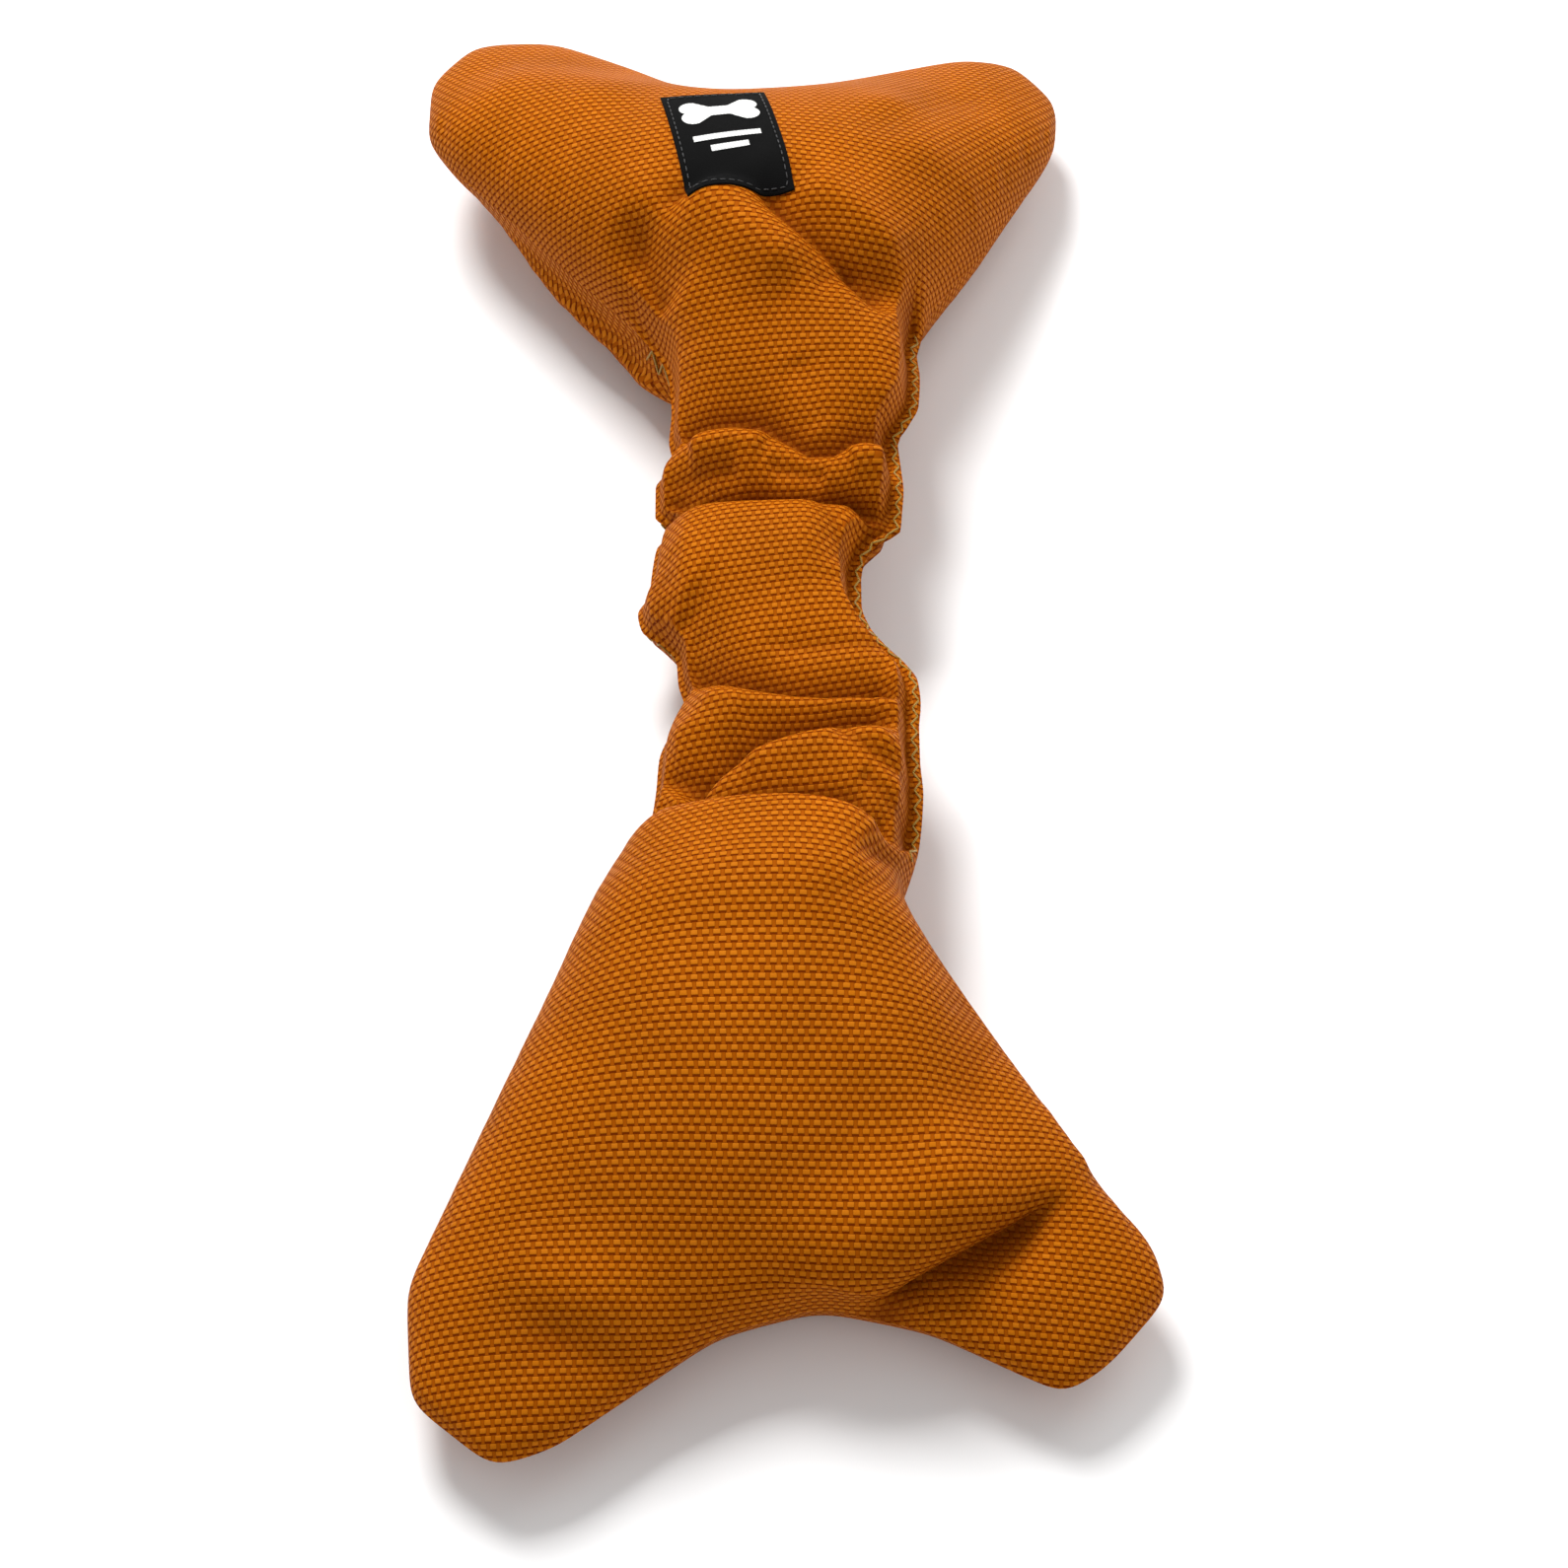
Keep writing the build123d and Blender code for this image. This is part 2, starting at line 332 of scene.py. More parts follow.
def lay_flat(p: np.ndarray, n: np.ndarray, facing: int) -> np.ndarray:
    """Lays a curved grid of cloth out flat, so that its weave can follow it.

    Finds the flat positions whose differences along every grid edge come closest, by least
    squares, to the edge's length along the weft and along the warp. Solved by conjugate gradients.

    Args:
        p: (R, C, 3) curved grid, in mm.
        n: (R, C, 3) unit normals.
        facing: 1 for the front, -1 for the back.

    Returns:
        (R, C, 2) flat positions, in mm.
    """
    def spread(a: np.ndarray, b: np.ndarray) -> np.ndarray:
        """Sums the edge values of both grid directions back onto the points."""
        out = np.zeros(p.shape[:2])
        out[:, 1:] += a
        out[:, :-1] -= a
        out[1:] += b
        out[:-1] -= b
        return out

    def apply(f: np.ndarray) -> np.ndarray:
        """The least-squares matrix times f."""
        return spread(np.diff(f, axis=1), np.diff(f, axis=0))

    across, along = np.diff(p, axis=1), np.diff(p, axis=0)
    flat = []
    for direction, start in zip(weave_directions(n, facing), (p[..., 0], p[..., 1])):
        goal_a = (across * 0.5 * (direction[:, 1:] + direction[:, :-1])).sum(axis=2)
        goal_b = (along * 0.5 * (direction[1:] + direction[:-1])).sum(axis=2)
        residual = spread(goal_a - np.diff(start, axis=1), goal_b - np.diff(start, axis=0))
        flat.append(conjugate_gradients(apply, start, residual, 1.0, 1e-4, 900))
    return np.stack(flat, axis=2)


def lowest_over(points: np.ndarray, facing: int, x: np.ndarray, y: np.ndarray, reach: int) -> np.ndarray:
    """Least height of a skin over places in the plan.

    Sorts the skin's points into 1 mm squares, keeps the least height in each, and takes the least
    of the squares within `reach`.

    Args:
        points: (R, C, 3) skin, in mm.
        facing: 1 for the front, -1 for the back, whose heights count downwards.
        x: Places in the plan, in mm.
        y: Places in the plan, in mm.
        reach: How many squares each way are looked at.

    Returns:
        The least height over each place, counted upwards for the front and downwards for the back.
    """
    low = np.floor([points[..., 0].min(), points[..., 1].min()]) - reach - 1
    high = np.ceil([points[..., 0].max(), points[..., 1].max()]) + reach + 2
    cells = np.full(tuple((high - low).astype(int)), np.inf)
    place = np.floor(points[..., :2] - low).astype(int)
    height = facing * points[..., 2]
    np.minimum.at(cells, (place[..., 0].ravel(), place[..., 1].ravel()), height.ravel())
    cells = least_nearby(cells, reach)
    ix = np.clip(np.floor(x - low[0]).astype(int), 0, cells.shape[0] - 1)
    iy = np.clip(np.floor(y - low[1]).astype(int), 0, cells.shape[1] - 1)
    return cells[ix, iy]


# --------------------------------------------------------------------------- mesh making


def mesh_object(name: str, points: np.ndarray, faces: np.ndarray, smooth: bool = True) -> bpy.types.Object:
    """A mesh object at the origin.

    Args:
        name: Piece name.
        points: (N, 3) points, in mm.
        faces: (M, 4) or (M, 3) corner numbers.
        smooth: Smooth shading.

    Returns:
        The new object, linked to the scene.
    """
    size = faces.shape[1]
    mesh = bpy.data.meshes.new(name)
    mesh.vertices.add(len(points))
    mesh.vertices.foreach_set("co", (points * MM).astype(np.float32).ravel())
    mesh.loops.add(faces.size)
    mesh.loops.foreach_set("vertex_index", faces.astype(np.int32).ravel())
    mesh.polygons.add(len(faces))
    mesh.polygons.foreach_set("loop_start", np.arange(0, faces.size, size, dtype=np.int32))
    mesh.polygons.foreach_set("use_smooth", np.full(len(faces), smooth))
    mesh.update(calc_edges=True)
    mesh.validate()
    obj = bpy.data.objects.new(name, mesh)
    bpy.context.scene.collection.objects.link(obj)
    return obj


def grid_faces(rows: int, columns: int, flip: bool = False) -> np.ndarray:
    """Quads of a grid whose points are numbered row by row."""
    r, c = np.meshgrid(np.arange(rows - 1), np.arange(columns - 1), indexing="ij")
    a = (r * columns + c).ravel()
    quads = np.stack([a, a + 1, a + columns + 1, a + columns], axis=1)
    return quads[:, ::-1] if flip else quads


def tube_faces(rings: int, around: int) -> np.ndarray:
    """Quads of an open tube whose points are numbered ring by ring."""
    r, c = np.meshgrid(np.arange(rings - 1), np.arange(around), indexing="ij")
    a = (r * around + c).ravel()
    b = (r * around + (c + 1) % around).ravel()
    return np.stack([a, b, b + around, a + around], axis=1)


def end_caps(rings: int) -> np.ndarray:
    """The two end quads of a four-sided tube."""
    last = 4 * rings - 1
    return np.array([[0, 1, 2, 3], [last, last - 1, last - 2, last - 3]])


def set_uv(obj: bpy.types.Object, name: str, uv: np.ndarray) -> None:
    """Stores one (u, v) per vertex as a UV map."""
    mesh = obj.data
    layer = mesh.uv_layers.new(name=name)
    corner = np.empty(len(mesh.loops), dtype=np.int32)
    mesh.loops.foreach_get("vertex_index", corner)
    layer.data.foreach_set("uv", uv.reshape(-1, 2)[corner].astype(np.float32).ravel())


def set_value(obj: bpy.types.Object, name: str, values: np.ndarray) -> None:
    """Stores one number per vertex as an attribute."""
    layer = obj.data.attributes.new(name, "FLOAT", "POINT")
    layer.data.foreach_set("value", values.astype(np.float32).ravel())


def set_normals(obj: bpy.types.Object, normals: np.ndarray) -> None:
    """Stores one custom normal per vertex, so that neighbouring sections shade as one cloth."""
    obj.data.normals_split_custom_set_from_vertices(normals.reshape(-1, 3).astype(float).tolist())


# --------------------------------------------------------------------------- node groups


class Wiring:
    """Short calls that add and join nodes in one node tree."""

    def __init__(self, tree: bpy.types.NodeTree) -> None:
        """Keeps the tree that nodes are added to."""
        self.tree = tree
        self.count = 0

    def node(self, kind: str, **settings: object) -> bpy.types.Node:
        """Adds a node and sets its properties."""
        made = self.tree.nodes.new(kind)
        made.location = (220 * (self.count % 12), -260 * (self.count // 12))
        self.count += 1
        for key, value in settings.items():
            setattr(made, key, value)
        return made

    def join(self, source: object, target: bpy.types.NodeSocket) -> None:
        """Sets a socket from another socket, or from a plain value."""
        if isinstance(source, bpy.types.NodeSocket):
            self.tree.links.new(source, target)
        else:
            target.default_value = source

    def math(self, kind: str, a: object, b: object = 0.0) -> bpy.types.NodeSocket:
        """One Math node."""
        made = self.node("ShaderNodeMath", operation=kind)
        for value, socket in zip((a, b), made.inputs):
            self.join(value, socket)
        return made.outputs[0]

    def blend_colour(self, share: object, a: object, b: object, kind: str = "MIX") -> bpy.types.NodeSocket:
        """One colour Mix node."""
        made = self.node("ShaderNodeMix", data_type="RGBA", blend_type=kind)
        self.join(share, made.inputs[0])
        self.join(a, made.inputs[6])
        self.join(b, made.inputs[7])
        return made.outputs[2]

    def remap(
        self, value: object, low: float, high: float, to_low: float, to_high: float
    ) -> bpy.types.NodeSocket:
        """One clamped Map Range node."""
        made = self.node("ShaderNodeMapRange")
        for given, socket in zip((value, low, high, to_low, to_high), made.inputs):
            self.join(given, socket)
        return made.outputs[0]

    def noise(self, vector: object, scale: float, detail: float = 2.0) -> bpy.types.NodeSocket:
        """One Noise Texture node's value."""
        made = self.node("ShaderNodeTexNoise")
        self.join(vector, made.inputs["Vector"])
        made.inputs["Scale"].default_value = scale
        made.inputs["Detail"].default_value = detail
        return made.outputs[0]

    def bump(self, shader: bpy.types.Node, height: object, strength: float, depth: float) -> None:
        """Roughens a shader's normal by a height, full at `depth` mm."""
        made = self.node("ShaderNodeBump")
        made.inputs["Strength"].default_value = strength
        made.inputs["Distance"].default_value = depth * MM
        self.join(height, made.inputs["Height"])
        self.join(made.outputs[0], shader.inputs["Normal"])


def new_group(
    name: str, inputs: dict[str, object], outputs: dict[str, str]
) -> tuple[bpy.types.NodeTree, Wiring]:
    """An empty shader node group with named sockets.

    Args:
        name: Group name.
        inputs: Socket name to its default number, or "vector" for a vector.
        outputs: Socket name to its kind, "float" or "color".

    Returns:
        The group and a wiring helper for it.
    """
    kinds = {"float": "NodeSocketFloat", "color": "NodeSocketColor", "vector": "NodeSocketVector"}
    group = bpy.data.node_groups.new(name, "ShaderNodeTree")
    for key, value in inputs.items():
        kind = "vector" if value == "vector" else "float"
        socket = group.interface.new_socket(key, in_out="INPUT", socket_type=kinds[kind])
        if kind == "float":
            socket.default_value = value
    for key, kind in outputs.items():
        group.interface.new_socket(key, in_out="OUTPUT", socket_type=kinds[kind])
    return group, Wiring(group)


def basket_weave_group() -> bpy.types.NodeTree:
    """Plain weave of yarn pairs.

    Cells alternate like a chessboard. Where the weft lies on top the cell holds a wide rounded
    float; between them the warp shows, lower and with painted shade, and a painted shadow slot
    runs along the float's lower edge. Height of a float: cosine across it times a flat-topped cosine along
    it.

    Returns:
        The group, which puts out Height, Float (where the weft is on top), the painted slot shadow and Slub.
    """
    group, w = new_group(
        "basket weave",
        {"Vector": "vector", "Warp pitch": 1.1, "Weft pitch": 1.55},
        {"Height": "float", "Float": "float", "Slot shadow": "float", "Slub": "float"},
    )
    src = w.node("NodeGroupInput")
    parts = w.node("ShaderNodeSeparateXYZ")
    w.join(src.outputs["Vector"], parts.inputs[0])
    a = w.math("DIVIDE", parts.outputs[0], src.outputs["Warp pitch"])
    b = w.math("DIVIDE", parts.outputs[1], src.outputs["Weft pitch"])
    wobble = w.noise(src.outputs["Vector"], 0.35, 2.0)
    a = w.math("ADD", a, w.math("MULTIPLY", w.math("SUBTRACT", wobble, 0.5), 0.35))
    row = w.math("FLOOR", b)
    # the column counter is moved one cell on every second row
    shifted = w.math("ADD", a, row)
    pair = w.math("FRACT", w.math("MULTIPLY", shifted, 0.5))  # 0..1 over a float and the warp beside it
    along = w.math("MULTIPLY", w.math("SUBTRACT", pair, 0.5), 2.0)  # -1..1
    across = w.math("MULTIPLY", w.math("SUBTRACT", w.math("FRACT", b), 0.5), 2.0)
    # weft float: 1 in its middle, 0 beyond 0.64 of half the pair
    outwards = w.math("DIVIDE", w.math("ABSOLUTE", along), 0.64)
    body = w.math("SUBTRACT", 1.0, w.math("POWER", outwards, 5.0))
    body = w.math("MAXIMUM", body, 0.0)
    inside = w.math("DIVIDE", w.math("ABSOLUTE", w.math("SUBTRACT", across, 0.25)), 0.70)
    belly = w.math("MAXIMUM", w.math("SUBTRACT", 1.0, w.math("POWER", inside, 2.6)), 0.0)
    weft = w.math("MULTIPLY", w.math("SQRT", body), w.math("SQRT", belly))
    # warp between floats: narrow, upright, lower
    near = w.math("SUBTRACT", 1.0, w.math("ABSOLUTE", along))
    warp = w.math("MAXIMUM", w.math("SUBTRACT", 1.0, w.math("POWER", w.math("DIVIDE", near, 0.40), 2.4)), 0.0)
    warp = w.math("MULTIPLY", w.math("SQRT", warp), 0.66)
    height = w.math("MAXIMUM", weft, warp)
    on_top = w.remap(w.math("SUBTRACT", weft, warp), -0.08, 0.12, 0.0, 1.0)
    # painted shadow in the weave's low places, under the floats
    slot_shadow = w.math("SUBTRACT", 1.0, w.remap(height, 0.05, 0.56, 0.0, 1.0))
    cell = w.node("ShaderNodeCombineXYZ")
    w.join(w.math("FLOOR", w.math("MULTIPLY", shifted, 0.5)), cell.inputs[0])
    w.join(row, cell.inputs[1])
    white = w.node("ShaderNodeTexWhiteNoise", noise_dimensions="2D")
    w.join(cell.outputs[0], white.inputs["Vector"])
    out = w.node("NodeGroupOutput")
    w.join(height, out.inputs["Height"])
    w.join(on_top, out.inputs["Float"])
    w.join(slot_shadow, out.inputs["Slot shadow"])
    w.join(white.outputs["Value"], out.inputs["Slub"])
    return group


def twist_group() -> bpy.types.NodeTree:
    """Twisted thread: slanting ridges along a piece, the sine of a slanted coordinate.

    Returns:
        The group, which puts out Height.
    """
    group, w = new_group("thread twist", {"Vector": "vector", "Pitch": 0.5}, {"Height": "float"})
    src = w.node("NodeGroupInput")
    parts = w.node("ShaderNodeSeparateXYZ")
    w.join(src.outputs["Vector"], parts.inputs[0])
    slant = w.math("ADD", w.math("ADD", parts.outputs[0], parts.outputs[1]), parts.outputs[2])
    full_turn = 6.2832
    turn = w.math("MULTIPLY", w.math("DIVIDE", slant, src.outputs["Pitch"]), full_turn)
    out = w.node("NodeGroupOutput")
    w.join(w.math("SINE", turn), out.inputs["Height"])
    return group


# --------------------------------------------------------------------------- finishes


def base_material(name: str, roughness: float) -> tuple[bpy.types.Material, Wiring, bpy.types.Node]:
    """A material with one Principled shader.

    Args:
        name: Material name.
        roughness: Constant roughness.

    Returns:
        The material, a wiring helper and the shader node.
    """
    material = bpy.data.materials.new(name)
    material.use_nodes = True
    tree = material.node_tree
    tree.nodes.clear()
    w = Wiring(tree)
    shader = w.node("ShaderNodeBsdfPrincipled")
    shader.inputs["Roughness"].default_value = roughness
    end = w.node("ShaderNodeOutputMaterial")
    tree.links.new(shader.outputs[0], end.inputs[0])
    return material, w, shader


def darker(colour: Colour, share: float) -> Colour:
    """The colour with its red, green and blue times a share."""
    return tuple(share * c for c in colour[:3]) + (1.0,)


@dataclass(frozen=True)
class BasketNylon:
    """Coarse ballistic nylon in a basket weave, coloured by its weave, with painted shade on the warp, in the
    slots under the floats and in folds and hollows.
    """

    name: str = "orange ballistic nylon"
    float_colour: Colour = (0.50, 0.144, 0.006, 1.0)
    # painted shade: the warp is the same yarn as the floats, painted darker as the lower, shaded yarn
    shaded_warp_colour: Colour = (0.32, 0.069, 0.001, 1.0)
    # painted shadow in the slot under each float
    slot_shadow_colour: Colour = (0.135, 0.0190, 0.0004, 1.0)
    worn_colour: Colour = (0.42, 0.112, 0.001, 1.0)
    # painted shade in folds and hollows, and the most of it that is mixed in
    fold_shade_colour: Colour = (0.13, 0.020, 0.001, 1.0)
    fold_shade_share: float = 0.75
    gloss_colour: Colour = (1.0, 0.5, 0.06, 1.0)
    gloss: float = 0.04
    roughness: float = 0.58
    relief: float = 0.2

    def build(self, weave: bpy.types.NodeTree) -> bpy.types.Material:
        """Makes the material.

        Args:
            weave: The basket weave group.

        Returns:
            The material, which reads the UV map "cloth" in mm and the attribute "fold", the painted shade of
            folds and hollows.
        """
        material, w, shader = base_material(self.name, self.roughness)
        uv = w.node("ShaderNodeUVMap", uv_map="cloth")
        group = w.node("ShaderNodeGroup", node_tree=weave)
        w.join(uv.outputs[0], group.inputs["Vector"])
        height, slub = group.outputs["Height"], group.outputs["Slub"]
        broad = w.noise(uv.outputs[0], 0.045, 3.0)
        strand = w.blend_colour(w.remap(slub, 0.0, 1.0, 0.0, 0.5), self.float_colour, self.worn_colour)
        # painted shade: where the weft is not on top, the warp takes its darker colour
        colour = w.blend_colour(group.outputs["Float"], self.shaded_warp_colour, strand)
        # painted shadow in the slots under the floats
        colour = w.blend_colour(group.outputs["Slot shadow"], colour, self.slot_shadow_colour)
        shade = w.remap(broad, 0.3, 0.7, 0.9, 1.08)
        tint = w.node("ShaderNodeCombineColor")
        for k in range(3):
            w.join(shade, tint.inputs[k])
        colour = w.blend_colour(1.0, colour, tint.outputs[0], "MULTIPLY")
        # painted shade in folds and hollows, read from the fold attribute
        fold = w.node("ShaderNodeAttribute", attribute_name="fold")
        fold_shade_amount = w.remap(fold.outputs["Fac"], 0.0, 1.0, 0.0, self.fold_shade_share)
        colour = w.blend_colour(fold_shade_amount, colour, self.fold_shade_colour)
        w.join(colour, shader.inputs["Base Color"])
        rough = w.remap(height, 0.0, 1.0, min(self.roughness + 0.25, 1.0), self.roughness - 0.08)
        w.join(rough, shader.inputs["Roughness"])
        shader.inputs["Specular IOR Level"].default_value = self.gloss
        shader.inputs["Specular Tint"].default_value = self.gloss_colour
        w.bump(shader, height, 0.75, self.relief)
        return material


@dataclass(frozen=True)
class Thread:
    """Bonded sewing thread."""

    name: str
    colour: Colour
    roughness: float = 0.5
    pitch: float = 0.0006

    def build(self, twist: bpy.types.NodeTree) -> bpy.types.Material:
        """Makes the material: painted shade in the twist's grooves, a little lighter on its ridges.

        Args:
            twist: The thread twist group.

        Returns:
            The material, which reads Object coordinates.
        """
        material, w, shader = base_material(self.name, self.roughness)
        place = w.node("ShaderNodeTexCoord")
        group = w.node("ShaderNodeGroup", node_tree=twist)
        w.join(place.outputs["Object"], group.inputs["Vector"])
        group.inputs["Pitch"].default_value = self.pitch
        share = w.remap(group.outputs["Height"], -1.0, 1.0, 0.0, 1.0)
        # painted shade: darker in the twist's grooves, lighter on its ridges
        colour = w.blend_colour(share, darker(self.colour, 0.55), self.colour)
        w.join(colour, shader.inputs["Base Color"])
        w.bump(shader, group.outputs["Height"], 0.5, 0.08)
        return material


@dataclass(frozen=True)
class LabelSatin:
    """Black woven label cloth: fine ribs, almost without gloss."""

    name: str = "black label cloth"
    colour: Colour = (0.002, 0.002, 0.002, 1.0)
    # painted highlight on the ribs' crests
    rib_highlight_colour: Colour = (0.006, 0.006, 0.006, 1.0)
    gloss: float = 0.04
    roughness: float = 0.8
    rib: float = 0.35

    def build(self, weave: bpy.types.NodeTree) -> bpy.types.Material:
        """Makes the material from the same weave at a much finer pitch, with painted highlights on the rib
        crests.
        """
        material, w, shader = base_material(self.name, self.roughness)
        uv = w.node("ShaderNodeUVMap", uv_map="cloth")
        group = w.node("ShaderNodeGroup", node_tree=weave)
        w.join(uv.outputs[0], group.inputs["Vector"])
        group.inputs["Warp pitch"].default_value = self.rib
        group.inputs["Weft pitch"].default_value = self.rib
        # painted highlight: rib crests lighter than the hollows between them
        colour = w.blend_colour(group.outputs["Height"], self.colour, self.rib_highlight_colour)
        w.join(colour, shader.inputs["Base Color"])
        shader.inputs["Specular IOR Level"].default_value = self.gloss
        w.bump(shader, group.outputs["Height"], 0.5, 0.05)
        return material


@dataclass(frozen=True)
class LooseFibre:
    """White polyester fill or pale elastic: soft noise in colour and relief."""

    name: str
    colour: Colour
    scale: float
    stretch: float = 1.0
    roughness: float = 0.9

    def build(self) -> bpy.types.Material:
        """Makes the material, which reads Object coordinates."""
        material, w, shader = base_material(self.name, self.roughness)
        place = w.node("ShaderNodeTexCoord")
        squeeze = w.node("ShaderNodeMapping")
        squeeze.inputs["Scale"].default_value = (1.0, self.stretch, 1.0)
        w.join(place.outputs["Object"], squeeze.inputs["Vector"])
        fluff = w.noise(squeeze.outputs[0], self.scale, 6.0)
        colour = w.blend_colour(fluff, darker(self.colour, 0.7), self.colour)
        w.join(colour, shader.inputs["Base Color"])
        w.bump(shader, fluff, 0.6, 0.4)
        return material


@dataclass(frozen=True)
class StudioFloor:
    """Pale matt studio sweep."""

    name: str = "studio floor"
    colour: Colour = (0.92, 0.92, 0.92, 1.0)
    roughness: float = 0.9

    def build(self) -> bpy.types.Material:
        """Makes the material: faint noise in a pale grey."""
        material, w, shader = base_material(self.name, self.roughness)
        place = w.node("ShaderNodeTexCoord")
        cloud = w.noise(place.outputs["Object"], 3.0, 2.0)
        colour = w.blend_colour(cloud, darker(self.colour, 0.985), self.colour)
        w.join(colour, shader.inputs["Base Color"])
        shader.inputs["Specular IOR Level"].default_value = 0.1
        return material


@dataclass
class Finishes:
    """Every material, built once."""

    cover: bpy.types.Material
    cover_thread: bpy.types.Material
    edge_thread: bpy.types.Material
    label: bpy.types.Material
    label_thread: bpy.types.Material
    emblem: bpy.types.Material
    fill: bpy.types.Material
    elastic: bpy.types.Material
    floor: bpy.types.Material

    @classmethod
    def build(cls) -> Finishes:
        """Builds the node groups and all materials."""
        weave, twist = basket_weave_group(), twist_group()
        return cls(
            cover=BasketNylon().build(weave),
            cover_thread=Thread("orange thread", (0.56, 0.19, 0.02, 1.0)).build(twist),
            edge_thread=Thread("olive thread", (0.44, 0.24, 0.012, 1.0)).build(twist),
            label=LabelSatin().build(weave),
            label_thread=Thread("black thread", (0.03, 0.03, 0.03, 1.0)).build(twist),
            emblem=Thread("white emblem thread", (0.80, 0.80, 0.78, 1.0), pitch=0.0009).build(twist),
            fill=LooseFibre("white fibre fill", (0.85, 0.85, 0.82, 1.0), 180.0).build(),
            elastic=LooseFibre("pale elastic", (0.72, 0.71, 0.66, 1.0), 90.0, 14.0, 0.7).build(),
            floor=StudioFloor().build(),
        )


# --------------------------------------------------------------------------- the cloth's shape


@dataclass(frozen=True)
class Crease:
    """A fold in the cloth: a valley (depth above 0) or a ridge (depth below 0) along a line.

    Its height is -depth * exp(-(distance / width)^power), with its own width on each side of the
    line, so a fold can hang over on one side. It fades towards both ends of the line.
    """

    line: tuple[tuple[float, float], ...]
    depth: float
    left: float
    right: float
    power: float = 1.25
    fade: tuple[float, float] = (0.15, 0.15)
    # painted shade along the crease's line, 0 to 1
    painted_shade: float = 0.0
    over: float = 0.0
    reach: float = 4.0

    def shape(self, x: np.ndarray, y: np.ndarray) -> tuple[np.ndarray, np.ndarray, np.ndarray]:
        """What this fold adds over the grid.

        Besides its height, a fold may hang over: cloth on one side moves across the line by
        over * (d / reach) * exp(1 - d / reach), so that it covers the valley. A positive `over`
        moves the left side to the right, a negative one the right side to the left.

        Args:
            x: Grid of x, in mm.
            y: Grid of y, in mm.

        Returns:
            Height, painted shade along the crease, and a sideways shift (x and y last).
        """
        distance, sign, share, away = line_distance(x, y, list(self.line))
        width = np.where(sign > 0, self.left, self.right)
        start = smooth_step(share / max(self.fade[0], 1e-3)) if self.fade[0] else 1.0
        end = smooth_step((1.0 - share) / max(self.fade[1], 1e-3)) if self.fade[1] else 1.0
        shape = np.exp(-((distance / width) ** self.power)) * start * end
        # how the painted shade falls off away from the crease's line
        shade_profile = np.exp(-((distance / (0.35 * width + 0.4)) ** 1.5)) * start * end
        rate = distance / self.reach
        push = abs(self.over) * rate * np.exp(1.0 - rate) * start * end * (sign * self.over > 0)
        return -self.depth * shape, self.painted_shade * shade_profile, -push[..., None] * away


